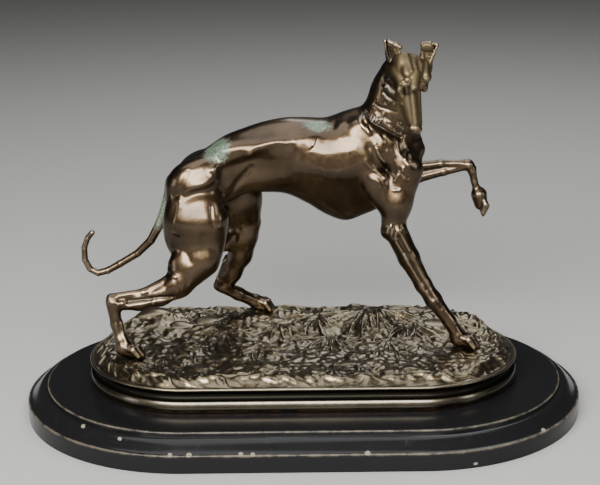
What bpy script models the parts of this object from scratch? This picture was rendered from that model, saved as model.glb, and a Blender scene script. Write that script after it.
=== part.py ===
"""A bronze whippet with one forepaw raised, cast with its rough ground, on a moulded black plinth.

The bronze is one solid and the plinth another. Sizes are in metres, +Z is up, and the whippet
faces +X. The origin is at the middle of the plinth's underside. The plinth and the bronze base
are turned profiles drawn out along X. The whippet is rods and eggs melted together: its pose and
modelling are given in hundredths of its own height, from a point on the ground under its body.
"""

import math

import bmesh
import bpy
import numpy as np
from mathutils import Matrix, Vector

# The whippet, from the ground that it stands on to the tips of its ears
WHIPPET_HEIGHT = 0.220
# How far the whippet's middle plane stands behind the middle of the base, as a share of its height
STANCE_SETBACK = 0.073
# How far its paws reach from the middle of the base, as shares of its height
STANCE_HALF_LENGTH = 0.57
STANCE_HALF_DEPTH = 0.18

# The bronze base: rim outside the paws, and its height from the plinth to the rim
BASE_END_MARGIN = 0.0246
BASE_SIDE_MARGIN = 0.0324
BASE_HEIGHT = 0.0170
BASE_RIM_WIDTH = 0.0030
BASE_RIM_THICKNESS = 0.0022
BASE_COVE_DEPTH = 0.0040
BASE_BAND_HEIGHT = 0.0080
BASE_BAND_INSET = 0.0008
BASE_BAND_BULGE = 0.0014
# The ground inside the rim, and how much higher it is at the back
GROUND_RISE = 0.0042
GROUND_BACK_RISE = 0.0075
GROUND_SHOULDER = 0.0100
# Where across the base the rise to the back ends, as a share of its half depth
GROUND_BACK_SHARE = 0.75
# The ground's swell: its waves along and across, and its height, in hundredths of the whippet
GROUND_WAVE_ALONG = 4.1
GROUND_WAVE_ACROSS = 3.3
GROUND_WAVE_HEIGHT = 0.175
GROUND_WAVE_START = 0.8

# The plinth under the base
PLINTH_HEIGHT = 0.0225
PLINTH_LEDGE = 0.0305
PLINTH_MOULDING_WIDTH = 0.0140
PLINTH_BAND_HEIGHT = 0.0125
PLINTH_FILLET = 0.0026
PLINTH_ARRIS = 0.0008
# The ogee: flats at its two ends as shares of its width, and how far it bows out, as a share of its drop
PLINTH_OGEE_FLAT = 1 / 7
PLINTH_OGEE_BOW = 0.16
PLINTH_OGEE_SWELL = 0.65
SEAT_CLEARANCE = 0.0003

# How finely the forms are meshed
ROUND_STEPS = 44
GROUND_STEP = 0.0080
VOXEL = 0.0013
WHIPPET_TRIANGLES = 4900

GROUND_LEVEL = PLINTH_HEIGHT + SEAT_CLEARANCE + BASE_HEIGHT + GROUND_RISE
UNIT = WHIPPET_HEIGHT / 100
BASE_HALF_LENGTH = STANCE_HALF_LENGTH * WHIPPET_HEIGHT + BASE_END_MARGIN
BASE_HALF_DEPTH = STANCE_HALF_DEPTH * WHIPPET_HEIGHT + BASE_SIDE_MARGIN
STRETCH = BASE_HALF_LENGTH - BASE_HALF_DEPTH
SETBACK = STANCE_SETBACK * WHIPPET_HEIGHT


def clear_scene():
    for obj in list(bpy.data.objects):
        bpy.data.objects.remove(obj, do_unlink=True)


def make_material(name, colour, metallic, roughness):
    material = bpy.data.materials.new(name)
    material.use_nodes = True
    shader = material.node_tree.nodes["Principled BSDF"]
    shader.inputs["Base Color"].default_value = (*colour, 1.0)
    shader.inputs["Metallic"].default_value = metallic
    shader.inputs["Roughness"].default_value = roughness
    material.diffuse_color = (*colour, 1.0)
    return material


def evaluated_mesh(obj, name):
    """The mesh that an object's modifiers make, in the object's own frame."""
    bpy.context.view_layer.update()
    graph = bpy.context.evaluated_depsgraph_get()
    mesh = bpy.data.meshes.new_from_object(obj.evaluated_get(graph), depsgraph=graph)
    mesh.name = name
    return mesh


def with_modifier(mesh, kind, **settings):
    """A mesh run through one modifier."""
    holder = bpy.data.objects.new("holder", mesh)
    bpy.context.scene.collection.objects.link(holder)
    modifier = holder.modifiers.new(kind.title(), kind)
    for key, value in settings.items():
        setattr(modifier, key, value)
    result = evaluated_mesh(holder, mesh.name)
    bpy.data.objects.remove(holder, do_unlink=True)
    return result


def smooth_step(value):
    value = np.clip(value, 0.0, 1.0)
    return value * value * (3 - 2 * value)


# The base and the plinth: turned profiles drawn out along X

def turned_and_drawn_out(name, profile):
    """Turn a profile about Z from its top to its bottom, and pull the round apart along X."""
    half_step = math.pi / ROUND_STEPS
    line = bpy.data.meshes.new(name)
    points = [(r * math.cos(half_step), r * math.sin(half_step), z) for r, z in profile]
    line.from_pydata(points, [(i, i + 1) for i in range(len(points) - 1)], [])
    turned = with_modifier(
        line, "SCREW", angle=2 * math.pi, steps=ROUND_STEPS, render_steps=ROUND_STEPS,
        use_merge_vertices=True, merge_threshold=0.00001)
    form = bmesh.new()
    form.from_mesh(turned)
    for vert in form.verts:
        vert.co.x += math.copysign(STRETCH, vert.co.x)
    open_edges = [edge for edge in form.edges if edge.is_boundary]
    bmesh.ops.holes_fill(form, edges=open_edges, sides=0)
    bmesh.ops.recalc_face_normals(form, faces=form.faces[:])
    return form


def slice_along(form, step, height):
    """Cut the top of the straight stretch across at even steps, so that it can carry relief."""
    count = round(2 * STRETCH / step)
    for index in range(count + 1):
        place = -STRETCH + 2 * STRETCH * index / count
        top = [face for face in form.faces if all(vert.co.z > height for vert in face.verts)]
        edges = {edge for face in top for edge in face.edges}
        verts = {vert for face in top for vert in face.verts}
        bmesh.ops.bisect_plane(form, geom=list(verts) + list(edges) + top,
                               plane_co=(place, 0, 0), plane_no=(1, 0, 0))


def arc(centre, radius, start, end, count):
    """Points on an arc in the plane of a profile, with its angles in degrees."""
    points = []
    for index in range(count + 1):
        angle = math.radians(start + (end - start) * index / count)
        points.append((centre[0] + radius * math.cos(angle), centre[1] + radius * math.sin(angle)))
    return points


def ground_height(x, y):
    """Height of the rough ground above the rim, at places in metres."""
    to_line = np.hypot(np.maximum(np.abs(x) - STRETCH, 0.0), y)
    inside = BASE_HALF_DEPTH - BASE_RIM_WIDTH - to_line
    level = GROUND_RISE + GROUND_BACK_RISE * smooth_step(y / (GROUND_BACK_SHARE * BASE_HALF_DEPTH))
    for cx, cy, sx, sy, rise in GROUND_MOUNDS:
        dx = (x / UNIT - cx) / sx
        dy = ((y - SETBACK) / UNIT - cy) / sy
        level = level + rise * UNIT * np.exp(-dx * dx - dy * dy)
    along = np.sin(x / (GROUND_WAVE_ALONG * UNIT))
    across = np.cos(y / (GROUND_WAVE_ACROSS * UNIT) + GROUND_WAVE_START)
    level = level + GROUND_WAVE_HEIGHT * UNIT * along * across
    return level * smooth_step(inside / GROUND_SHOULDER)


# Hillocks and stones: place, spread and rise, in hundredths of the whippet's height
GROUND_MOUNDS = (
    (23.5, 4.0, 6.0, 9.0, 3.6),
    (34.0, -4.0, 6.0, 6.0, 1.8),
    (52.0, -12.0, 6.5, 5.0, 0.6),
    (-50.0, 13.0, 9.0, 7.0, 1.5),
    (-36.0, -11.0, 5.0, 4.0, 1.2),
    (-24.0, -17.0, 4.0, 3.0, 1.1),
    (-6.0, 2.0, 5.0, 3.5, 1.3),
    (-12.3, 17.7, 7.0, 5.0, 0.4),
)


def base_form():
    """The bronze base: moulded side, bright rim, and the rough ground inside it."""
    bottom = PLINTH_HEIGHT + SEAT_CLEARANCE
    rim_top = bottom + BASE_HEIGHT
    rim = BASE_HALF_DEPTH
    rim_radius = BASE_RIM_THICKNESS / 2
    band_top = bottom + BASE_BAND_HEIGHT
    cove_top = rim_top - BASE_RIM_THICKNESS
    cove_radius = (cove_top - band_top) / 2
    rings = max(4, round((rim - BASE_RIM_WIDTH) / GROUND_STEP))
    profile = []
    for index in range(rings):
        profile.append(((rim - BASE_RIM_WIDTH) * (index + 0.5) / (rings - 0.5), rim_top))
    profile[-1] = (rim - BASE_RIM_WIDTH, rim_top)
    profile += arc((rim - rim_radius, rim_top - rim_radius), rim_radius, 90, -90, 4)
    cove_centre = (rim - BASE_COVE_DEPTH + cove_radius, band_top + cove_radius)
    profile += arc(cove_centre, cove_radius, 110, 250, 4)
    middle = bottom + BASE_BAND_HEIGHT / 2
    for share in (0.0, 0.2, 0.5, 0.8, 1.0):
        bulge = BASE_BAND_BULGE * 4 * share * (1 - share)
        profile.append((rim - BASE_BAND_INSET + bulge, middle + BASE_BAND_HEIGHT * (0.5 - share)))
    profile.append((rim / (2 * rings), bottom))
    form = turned_and_drawn_out("bronze base", profile)
    slice_along(form, GROUND_STEP, rim_top - 0.00001)
    for vert in form.verts:
        to_line = math.hypot(max(abs(vert.co.x) - STRETCH, 0.0), vert.co.y)
        if vert.co.z > rim_top - 0.00001 and to_line < rim - BASE_RIM_WIDTH:
            vert.co.z = rim_top + float(ground_height(vert.co.x, vert.co.y))
    return form


def plinth_form():
    """The black plinth: an upright band, an ogee moulding and a flat top."""
    top_edge = BASE_HALF_DEPTH + PLINTH_LEDGE
    foot = top_edge + PLINTH_MOULDING_WIDTH
    fillet_low = PLINTH_HEIGHT - PLINTH_FILLET
    step = PLINTH_OGEE_FLAT * PLINTH_MOULDING_WIDTH
    profile = [(BASE_HALF_DEPTH / 4, PLINTH_HEIGHT)]
    profile += arc((top_edge - PLINTH_ARRIS, PLINTH_HEIGHT - PLINTH_ARRIS), PLINTH_ARRIS, 90, 0, 3)
    profile.append((top_edge, fillet_low))
    ogee_start = top_edge + step
    ogee_end = foot - step
    for index in range(7):
        share = index / 6
        swell = 0.5 - 0.5 * math.cos(math.pi * share)
        fall = (1 - PLINTH_OGEE_SWELL) * share + PLINTH_OGEE_SWELL * swell
        fall -= PLINTH_OGEE_BOW * math.sin(math.pi * share)
        drop = (fillet_low - PLINTH_BAND_HEIGHT) * fall
        profile.append((ogee_start + (ogee_end - ogee_start) * share, fillet_low - drop))
    profile += arc((foot - PLINTH_ARRIS, PLINTH_BAND_HEIGHT - PLINTH_ARRIS), PLINTH_ARRIS, 90, 0, 3)
    profile.append((foot, 0.0))
    profile.append((BASE_HALF_DEPTH / 4, 0.0))
    return turned_and_drawn_out("black plinth", profile)


# The whippet: rods and eggs in hundredths of its height, melted into one skin

def unit_vector(v):
    v = np.asarray(v, float)
    return v / np.linalg.norm(v)


def rod(start, end, radius_start, radius_end, flat=1.0, side=(0, 1, 0), melt=1.2):
    """A tapering rod with round ends, flattened across the direction side."""
    return {"kind": "rod", "a": np.array(start, float), "b": np.array(end, float),
            "ra": radius_start, "rb": radius_end, "flat": flat, "side": unit_vector(side),
            "melt": melt}


def egg(centre, radii, pitch=0.0, turn=0.0, melt=1.6, axes=None):
    """An ellipsoid, pitched nose-up about Y and then turned about Z, in degrees, or set along axes."""
    if axes is None:
        axes = Matrix.Rotation(math.radians(turn), 3, "Z") @ Matrix.Rotation(-math.radians(pitch), 3, "Y")
    return {"kind": "egg", "c": np.array(centre, float), "r": np.array(radii, float),
            "axes": np.array(axes), "melt": melt}


def chain(points, melt=1.2, flat=1.0, side=(0, 1, 0)):
    """Rods end to end through points of (x, y, z, radius)."""
    rods = []
    for one, two in zip(points, points[1:]):
        rods.append(rod(one[:3], two[:3], one[3], two[3], flat, side, melt))
    return rods


def mirrored(shape):
    """The same shape on the other side of the whippet's middle plane."""
    other = dict(shape)
    flip = np.array([1.0, -1.0, 1.0])
    if shape["kind"] == "rod":
        other["a"] = shape["a"] * flip
        other["b"] = shape["b"] * flip
        other["side"] = shape["side"] * flip
    else:
        other["c"] = shape["c"] * flip
        other["axes"] = np.diag(flip) @ shape["axes"] @ np.diag(flip)
    return other


# Stations of the trunk: along, top, bottom, half width
TRUNK = np.array([
    (-41.0, 55.0, 44.5, 4.0),
    (-37.0, 59.2, 42.5, 6.4),
    (-31.0, 62.4, 42.5, 7.8),
    (-24.0, 67.0, 45.5, 7.4),
    (-17.5, 69.6, 48.4, 6.2),
    (-11.0, 71.6, 48.8, 6.6),
    (-5.0, 72.6, 48.3, 8.4),
    (1.5, 72.6, 45.3, 10.0),
    (8.0, 72.4, 41.3, 11.0),
    (14.0, 74.5, 39.3, 11.0),
    (20.0, 75.8, 41.2, 10.2),
    (26.5, 74.2, 44.1, 9.0),
    (32.6, 68.9, 47.6, 7.3),
    (36.1, 64.6, 55.6, 4.2),
])


def flowing(x, stations, values):
    """Values between stations, on smooth curves instead of straight lines."""
    slopes = np.gradient(values, stations)
    index = np.clip(np.searchsorted(stations, x) - 1, 0, len(stations) - 2)
    gap = stations[index + 1] - stations[index]
    share = (x - stations[index]) / gap
    rest = 1 - share
    ends = values[index] * (1 + 2 * share) * rest ** 2 + values[index + 1] * (3 - 2 * share) * share ** 2
    return ends + gap * share * rest * (slopes[index] * rest - slopes[index + 1] * share)


def trunk_distance(p):
    """Distance to the trunk, whose sections are egg-shaped and keeled towards the brisket."""
    x = np.clip(p[:, 0], TRUNK[0, 0], TRUNK[-1, 0])
    top, low, wide = (flowing(x, TRUNK[:, 0], TRUNK[:, i]) for i in (1, 2, 3))
    middle = 0.5 * (top + low)
    tall = 0.5 * (top - low)
    up = (p[:, 2] - middle) / tall
    keel = smooth_step((x + 8) / 16) * smooth_step((36 - x) / 10)
    wide = wide * (1 + (0.10 + 0.22 * keel) * np.clip(up, -1, 1))
    beyond = (p[:, 0] - x) / 2.2
    reach = np.sqrt((p[:, 1] / wide) ** 2 + up ** 2 + beyond ** 2)
    slope = np.sqrt((p[:, 1] / wide ** 2) ** 2 + (up / tall) ** 2 + (beyond / 2.2) ** 2)
    return reach * (reach - 1) / np.maximum(slope, 0.02)


def trunk_sections():
    """Eggs inside the trunk, station by station, from which its skin is started."""
    eggs = []
    for x, top, low, wide in TRUNK:
        eggs.append(egg((x, 0, 0.5 * (top + low)), (0.8, 0.95 * wide, 0.5 * (top - low))))
    return eggs


def distance(shape, p):
    """Signed distance from points to one rod or egg, positive outside."""
    if shape["kind"] == "egg":
        local = (p - shape["c"]) @ shape["axes"]
        scaled = local / shape["r"]
        reach = np.linalg.norm(scaled, axis=1)
        slope = np.linalg.norm(scaled / shape["r"], axis=1)
        return reach * (reach - 1) / np.maximum(slope, 0.02)
    stretch = 1 / shape["flat"] - 1
    side = shape["side"]
    a = shape["a"] + stretch * (shape["a"] @ side) * side
    b = shape["b"] + stretch * (shape["b"] @ side) * side
    q = p + stretch * (p @ side)[:, None] * side
    along = b - a
    share = np.clip((q - a) @ along / (along @ along), 0, 1)
    away = q - a - share[:, None] * along
    reach = np.linalg.norm(away, axis=1)
    radius = shape["ra"] + (shape["rb"] - shape["ra"]) * share
    across = (away @ side) / np.maximum(reach, 0.0001)
    slope = np.sqrt(1 + (1 / shape["flat"] ** 2 - 1) * across ** 2)
    return (reach - radius) / slope


def melted(first, second, melt):
    """Smooth union of two distances."""
    share = np.clip(0.5 + 0.5 * (second - first) / melt, 0, 1)
    return second * (1 - share) + first * share - melt * share * (1 - share)


# Limbs, neck, head and tail, each a list of rods and eggs

def legs():
    near_hind = chain([(-33.6, -6.6, 52.0, 8.6), (-33.0, -8.0, 41.5, 9.0), (-32.2, -9.0, 33.6, 7.6)],
                      melt=3.0, flat=0.60)
    near_hind += [
        egg((-28.3, -8.6, 40.0), (4.6, 3.6, 9.5), pitch=4),
        egg((-38.9, -7.6, 39.5), (4.4, 4.0, 9.5), pitch=-2),
        egg((-36.4, -10.4, 28.2), (6.0, 3.6, 5.4), pitch=38),
    ]
    near_hind += chain([(-31.4, -10.0, 29.4, 5.6), (-39.0, -11.6, 22.3, 4.3),
                        (-44.8, -12.7, 19.0, 3.3), (-51.0, -13.9, 17.3, 2.6),
                        (-57.8, -15.0, 16.9, 2.0)], melt=1.8, flat=0.84)
    near_hind += chain([(-43.0, -12.4, 23.4, 1.5), (-50.0, -13.8, 20.4, 1.1),
                        (-60.0, -15.0, 19.2, 1.2)], melt=0.8)
    near_hind += chain([(-59.4, -15.0, 17.4, 2.2), (-58.4, -15.9, 10.5, 1.75),
                        (-57.0, -16.8, 5.6, 1.9), (-55.8, -17.2, 3.4, 2.2)], melt=1.2)
    far_hind = chain([(-29.5, 6.6, 51.0, 8.4), (-20.6, 8.0, 45.0, 7.4), (-18.9, 9.2, 36.5, 5.8)],
                     melt=3.0, flat=0.60)
    far_hind += [egg((-22.5, 9.2, 31.0), (3.8, 3.4, 6.4), pitch=-60)]
    far_hind += chain([(-18.8, 9.7, 31.4, 4.7), (-20.4, 11.4, 24.8, 3.9), (-23.2, 13.1, 18.0, 3.0),
                       (-25.2, 14.2, 13.6, 2.6)], melt=1.8, flat=0.84)
    far_hind += chain([(-24.6, 12.0, 23.5, 1.2), (-28.4, 14.0, 13.0, 1.2)], melt=0.8)
    far_hind += chain([(-26.6, 14.1, 12.9, 2.3), (-21.4, 15.6, 9.6, 2.1), (-17.0, 16.8, 7.0, 2.1)],
                      melt=1.2)
    near_fore = chain([(32.6, -7.4, 57.5, 5.4), (29.5, -9.0, 47.0, 4.7), (28.4, -9.6, 39.0, 3.6)],
                      melt=2.4, flat=0.8)
    near_fore += [egg((26.5, -9.6, 38.0), (1.7, 1.5, 1.9), melt=1.2)]
    near_fore += chain([(29.4, -9.6, 38.4, 3.7), (33.6, -9.9, 29.5, 3.3), (38.2, -10.2, 20.7, 2.6),
                        (41.4, -10.5, 15.8, 2.6), (46.4, -11.0, 8.8, 2.1), (48.8, -11.4, 4.8, 2.2)],
                       melt=1.2)
    far_fore = chain([(31.0, 6.6, 58.0, 4.8), (31.5, 7.4, 50.5, 3.6)], melt=2.4)
    far_fore += chain([(33.0, 7.4, 54.2, 1.7), (44.6, 7.8, 55.4, 1.25), (52.6, 8.1, 55.3, 1.15)],
                      melt=0.7)
    far_fore += chain([(31.8, 7.3, 49.6, 2.2), (37.5, 7.5, 51.0, 1.75), (45.6, 7.8, 52.9, 1.45),
                       (52.0, 8.1, 54.2, 1.3)], melt=0.7)
    far_fore += [
        rod((33.0, 7.4, 52.0), (51.0, 8.0, 54.6), 2.4, 1.2, flat=0.5, melt=0.6),
        egg((53.6, 8.1, 54.8), (2.1, 1.9, 1.9), pitch=-30, melt=0.8),
        egg((54.6, 8.0, 53.2), (1.2, 1.5, 1.3), melt=0.5),
    ]
    far_fore += chain([(54.8, 8.1, 53.4, 1.5), (55.6, 8.2, 49.6, 1.1), (56.6, 8.2, 46.2, 1.35)],
                      melt=0.8)
    return near_hind + far_hind + near_fore + far_fore


def paw(centre, heading, droop, size=1.0):
    """A paw of a pad and four knuckled toes, pointing along heading and down by droop, in degrees."""
    turn = Matrix.Rotation(math.radians(heading), 3, "Z") @ Matrix.Rotation(math.radians(droop), 3, "Y")
    at = lambda x, y, z: Vector(centre) + turn @ (Vector((x, y, z)) * size)
    shapes = [rod(at(-0.9, 0, 0.1), at(1.3, 0, -0.5), 2.0 * size, 1.7 * size, melt=0.8)]
    for index, spread in enumerate((-1.5, -0.52, 0.52, 1.5)):
        long = 0.7 if index in (1, 2) else 0.0
        knuckle = at(1.7 + long, spread, 0.35)
        shapes.append(rod(at(-0.4, 0.6 * spread, 0.5), knuckle, 0.8 * size, 0.86 * size, melt=0.4))
        shapes.append(rod(knuckle, at(3.1 + long, 1.15 * spread, -1.1), 0.86 * size, 0.62 * size,
                          melt=0.35))
    return shapes


def paws():
    shapes = paw((-55.2, -17.3, 2.9), -6, 4, size=1.3)
    shapes += paw((-14.6, 17.4, 6.0), 0, 8, size=1.25)
    shapes += paw((50.4, -11.5, 3.0), -8, 6, size=1.35)
    shapes += paw((57.7, 8.2, 43.8), 0, 62, size=1.3)
    return shapes


def masses():
    """The muscles of both sides of the trunk."""
    one_side = [
        egg((-24.6, -4.8, 62.6), (2.6, 2.0, 2.2), melt=2.4),
        egg((-32.2, -5.6, 56.4), (7.5, 4.0, 4.4), pitch=26, melt=2.4),
        rod((-22.0, -4.6, 63.4), (2.0, -6.4, 66.4), 2.5, 3.0, melt=2.6),
        rod((18.4, -6.6, 70.5), (31.6, -7.6, 58.2), 3.3, 3.7, flat=0.8, melt=2.0),
        egg((24.6, -9.3, 51.5), (4.6, 3.0, 7.6), pitch=24, melt=1.8),
        egg((31.4, -4.8, 56.2), (3.4, 3.4, 5.2), melt=2.0),
        egg((22.6, -7.9, 62.6), (5.0, 3.0, 5.4), pitch=-30, melt=1.8),
    ]
    shapes = one_side + [mirrored(shape) for shape in one_side]
    shapes += [egg((37.2, -0.6, 62.0), (1.8, 2.0, 2.0), melt=0.9)]
    return shapes


def neck():
    return chain([(27.6, 0.2, 67.0, 10.3), (28.7, -0.4, 74.6, 8.1), (29.5, -1.8, 81.0, 7.0),
                  (30.3, -3.6, 86.6, 5.8)], melt=3.0, flat=0.80)


# The head's own frame: its middle, and how it is turned to the side, dropped and tilted
HEAD_CENTRE = np.array([33.9, -6.6, 87.4])
HEAD_TURN = math.radians(20)
HEAD_DROP = math.radians(34)
HEAD_TILT = Matrix.Rotation(math.radians(17), 3, "Y")
FORWARD = np.array(HEAD_TILT @ Vector((math.sin(HEAD_TURN) * math.cos(HEAD_DROP),
                                       -math.cos(HEAD_TURN) * math.cos(HEAD_DROP),
                                       -math.sin(HEAD_DROP))))
LEFTWARD = np.array(HEAD_TILT @ Vector((math.cos(HEAD_TURN), math.sin(HEAD_TURN), 0.0)))
UPWARD = np.cross(FORWARD, LEFTWARD)


def on_head(ahead, across, above):
    return HEAD_CENTRE + ahead * FORWARD + across * LEFTWARD + above * UPWARD


def head_rod(start, end, radius_start, radius_end, flat=1.0, melt=0.8):
    return rod(on_head(*start), on_head(*end), radius_start, radius_end, flat, UPWARD, melt)


def head_egg(centre, radii, melt=0.8):
    return egg(on_head(*centre), radii, melt=melt, axes=np.column_stack((FORWARD, LEFTWARD, UPWARD)))


def head():
    shapes = [
        head_egg((-0.4, 0, 0.4), (6.2, 6.0, 4.7), melt=1.6),
        head_rod((2.0, -0.6, -1.0), (7.6, -1.8, -1.8), 4.2, 3.0, melt=1.2),
        head_rod((7.0, -1.8, -1.9), (20.0, -1.6, -1.9), 3.0, 2.0, melt=0.9),
        head_rod((3.0, -1.2, -3.8), (18.8, -1.6, -3.5), 2.5, 1.3, melt=0.9),
        head_rod((2.4, -0.6, 3.0), (7.4, -1.2, 1.5), 2.0, 1.6, melt=0.9),
        head_rod((6.8, -1.2, 1.0), (20.2, -1.4, -0.4), 1.7, 1.1, flat=0.7, melt=0.6),
        head_egg((21.2, -1.5, -1.3), (1.5, 1.85, 1.6), melt=0.4),
    ]
    for side in (-1, 1):
        shapes += [
            head_egg((-2.2, 3.9 * side, 2.4), (3.2, 2.4, 2.4), melt=1.4),
            head_egg((2.4, 3.2 * side, 2.9), (2.6, 1.8, 1.5), melt=0.8),
            head_rod((-0.2, 5.2 * side, -0.6), (5.0, 3.9 * side, -0.2), 1.3, 1.1, melt=0.8),
            head_egg((-0.5, 4.4 * side, -2.2), (2.8, 2.1, 2.8), melt=1.4),
        ]
    return shapes


def ears():
    """Raised ears, each a thin web between two rims, with the tip folded forward."""
    left_flat = unit_vector((0.45, 1.0, 0.25))
    right_flat = unit_vector((-0.10, 1.0, 0.30))
    left = chain([(28.6, -5.2, 89.8, 2.4), (28.0, -5.0, 93.0, 2.0), (26.6, -5.0, 96.6, 0.9)],
                 melt=0.4, flat=0.36, side=left_flat)
    left += chain([(31.0, -7.2, 90.6, 0.8), (29.0, -7.0, 94.7, 0.65), (27.0, -6.2, 97.4, 0.6)], melt=0.4)
    left += chain([(26.3, -5.9, 97.1, 0.7), (29.2, -7.0, 96.0, 0.75), (30.5, -7.4, 95.4, 0.7)], melt=0.4)
    right = chain([(38.2, -5.0, 89.8, 2.2), (39.1, -5.0, 93.2, 2.3), (39.7, -5.0, 95.0, 2.2)],
                  melt=0.4, flat=0.34, side=right_flat)
    right += chain([(39.0, -6.4, 89.2, 0.8), (40.6, -6.2, 92.9, 0.6), (41.7, -6.0, 95.5, 0.6)], melt=0.4)
    right += chain([(37.5, -6.1, 96.1, 0.7), (39.6, -6.0, 96.3, 0.7), (41.6, -5.9, 95.8, 0.6)], melt=0.4)
    right += [rod((38.2, -6.9, 95.2), (39.6, -6.9, 95.1), 1.35, 1.2, flat=0.5, side=right_flat, melt=0.4)]
    return left + right


def tail():
    points = [(-40.5, 0, 51.3, 2.4), (-42.6, 0, 44.9, 1.8), (-45.2, 0, 38.6, 1.55),
              (-48.2, 0, 33.2, 1.35), (-52.6, 0, 29.0, 1.2), (-58.4, 0, 25.5, 1.15),
              (-62.4, 0, 23.3, 1.1), (-65.6, 0, 22.5, 1.05), (-68.2, 0, 23.9, 1.0),
              (-69.6, 0, 27.0, 1.0), (-69.6, 0, 31.0, 0.95), (-68.4, 0, 34.2, 0.9),
              (-66.9, 0, 36.0, 0.9)]
    return chain(points, melt=0.25)


# Creases and ridges, drawn in the side view: points, half width, depth, the side they are on
def creases():
    near, both = -1, 0
    return [
        (((16.5, 73.0), (20.0, 66.0), (25.0, 60.0), (30.0, 55.5)), 0.9, 0.55, both),
        (((17.5, 62.0), (20.0, 55.0), (22.5, 47.0)), 0.9, 0.60, both),
        (((-15.5, 58.0), (-20.0, 53.0), (-24.5, 46.0)), 1.1, 0.60, both),
        (((-23.5, 58.5), (-31.0, 51.0), (-38.5, 48.6)), 1.2, 0.35, both),
        (((-33.8, 46.0), (-33.6, 38.0), (-33.0, 31.0)), 0.8, 0.25, near),
        (((26.5, 57.5), (28.0, 50.0), (28.6, 43.0)), 0.7, 0.35, near),
        (((-45.5, 21.0), (-58.0, 17.9)), 0.45, 0.55, near),
        (((30.0, 36.0), (41.0, 17.0)), 0.5, 0.30, near),
    ]


def crease_depth(p):
    """How much the creases take off the skin at each point."""
    depth = np.zeros(len(p))
    outward = smooth_step((np.abs(p[:, 1]) - 1.5) / 2.5)
    for points, half_width, most, side in creases():
        nearest = np.full(len(p), 99.0)
        for one, two in zip(points, points[1:]):
            one = np.array(one)
            along = np.array(two) - one
            flat = p[:, [0, 2]] - one
            share = np.clip(flat @ along / (along @ along), 0, 1)
            nearest = np.minimum(nearest, np.linalg.norm(flat - share[:, None] * along, axis=1))
        stroke = most * np.exp(-(nearest / half_width) ** 2) * outward
        if side:
            stroke = stroke * smooth_step(p[:, 1] * side)
        depth += stroke
    return depth


def skin_distance(p, shapes):
    """Signed distance to the whippet's skin."""
    reach = trunk_distance(p)
    for shape in shapes:
        reach = melted(reach, distance(shape, p), shape["melt"])
    return reach + crease_depth(p)


def skin_slope(p, shapes):
    """The gradient of the skin's distance, by small steps to four corners."""
    step = 0.12
    slope = np.zeros_like(p)
    for corner in ((1, 1, 1), (1, -1, -1), (-1, 1, -1), (-1, -1, 1)):
        corner = np.array(corner, float)
        slope += corner * skin_distance(p + step * corner, shapes)[:, None]
    return slope / (4 * step)


def ball_points():
    """Points on a ball of radius 1, as a plain UV sphere has them."""
    points = [Vector((0, 0, 1)), Vector((0, 0, -1))]
    for ring in range(1, 8):
        polar = math.pi * ring / 8
        for step in range(14):
            angle = 2 * math.pi * step / 14
            flat = math.sin(polar)
            points.append(Vector((flat * math.cos(angle), flat * math.sin(angle), math.cos(polar))))
    return points


def placed_balls(shape):
    """How a unit ball is placed to make an egg, or each end of a rod."""
    if shape["kind"] == "egg":
        size = Matrix.Diagonal(Vector(shape["r"])).to_4x4()
        return [Matrix.Translation(shape["c"]) @ Matrix(shape["axes"]).to_4x4() @ size]
    flatten = Matrix.Scale(shape["flat"], 4, Vector(shape["side"]))
    return [Matrix.Translation(shape["a"]) @ flatten @ Matrix.Scale(shape["ra"], 4),
            Matrix.Translation(shape["b"]) @ flatten @ Matrix.Scale(shape["rb"], 4)]


def add_hull(form, balls):
    """The hull of some placed balls, as one closed body."""
    corners = [form.verts.new(place @ point) for place in balls for point in ball_points()]
    hull = bmesh.ops.convex_hull(form, input=corners)
    inner = [item for item in hull["geom_interior"] if isinstance(item, bmesh.types.BMVert)]
    bmesh.ops.delete(form, geom=inner, context="VERTS")


def start_skin(shapes):
    """One mesh of overlapping hulls: the trunk between its stations, and every rod and egg."""
    form = bmesh.new()
    sections = trunk_sections()
    for one, two in zip(sections, sections[1:]):
        add_hull(form, placed_balls(one) + placed_balls(two))
    for shape in shapes:
        add_hull(form, placed_balls(shape))
    mesh = bpy.data.meshes.new("whippet skin")
    form.to_mesh(mesh)
    form.free()
    return mesh


def whippet_mesh():
    shapes = legs() + paws() + masses() + neck() + head() + ears() + tail()
    mesh = start_skin(shapes)
    mesh = with_modifier(mesh, "REMESH", mode="VOXEL", voxel_size=VOXEL / UNIT, adaptivity=0.0)
    mesh = with_modifier(mesh, "SMOOTH", factor=0.5, iterations=4)
    points = np.empty(3 * len(mesh.vertices))
    mesh.vertices.foreach_get("co", points)
    points = points.reshape(-1, 3)
    for _ in range(4):
        slope = skin_slope(points, shapes)
        size = np.maximum(np.linalg.norm(slope, axis=1), 0.3)
        move = np.clip(skin_distance(points, shapes) / size, -0.8, 0.8)
        points = points - slope * (move / size)[:, None]
    mesh.vertices.foreach_set("co", points.ravel())
    mesh.update()
    mesh = with_modifier(mesh, "SMOOTH", factor=0.4, iterations=1)
    share = WHIPPET_TRIANGLES / (2 * len(mesh.polygons))
    mesh = with_modifier(mesh, "DECIMATE", decimate_type="COLLAPSE", ratio=min(1.0, share),
                         use_collapse_triangulate=True)
    mesh.transform(Matrix.Translation((0, SETBACK, GROUND_LEVEL)) @ Matrix.Scale(UNIT, 4))
    return mesh


def add_object(name, mesh, material, collection, smooth_angle=40):
    mesh.materials.clear()
    mesh.materials.append(material)
    mesh.shade_smooth()
    mesh.set_sharp_from_angle(angle=math.radians(smooth_angle))
    obj = bpy.data.objects.new(name, mesh)
    collection.objects.link(obj)
    return obj


def mesh_from(form, name):
    mesh = bpy.data.meshes.new(name)
    form.to_mesh(mesh)
    form.free()
    return mesh


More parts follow.
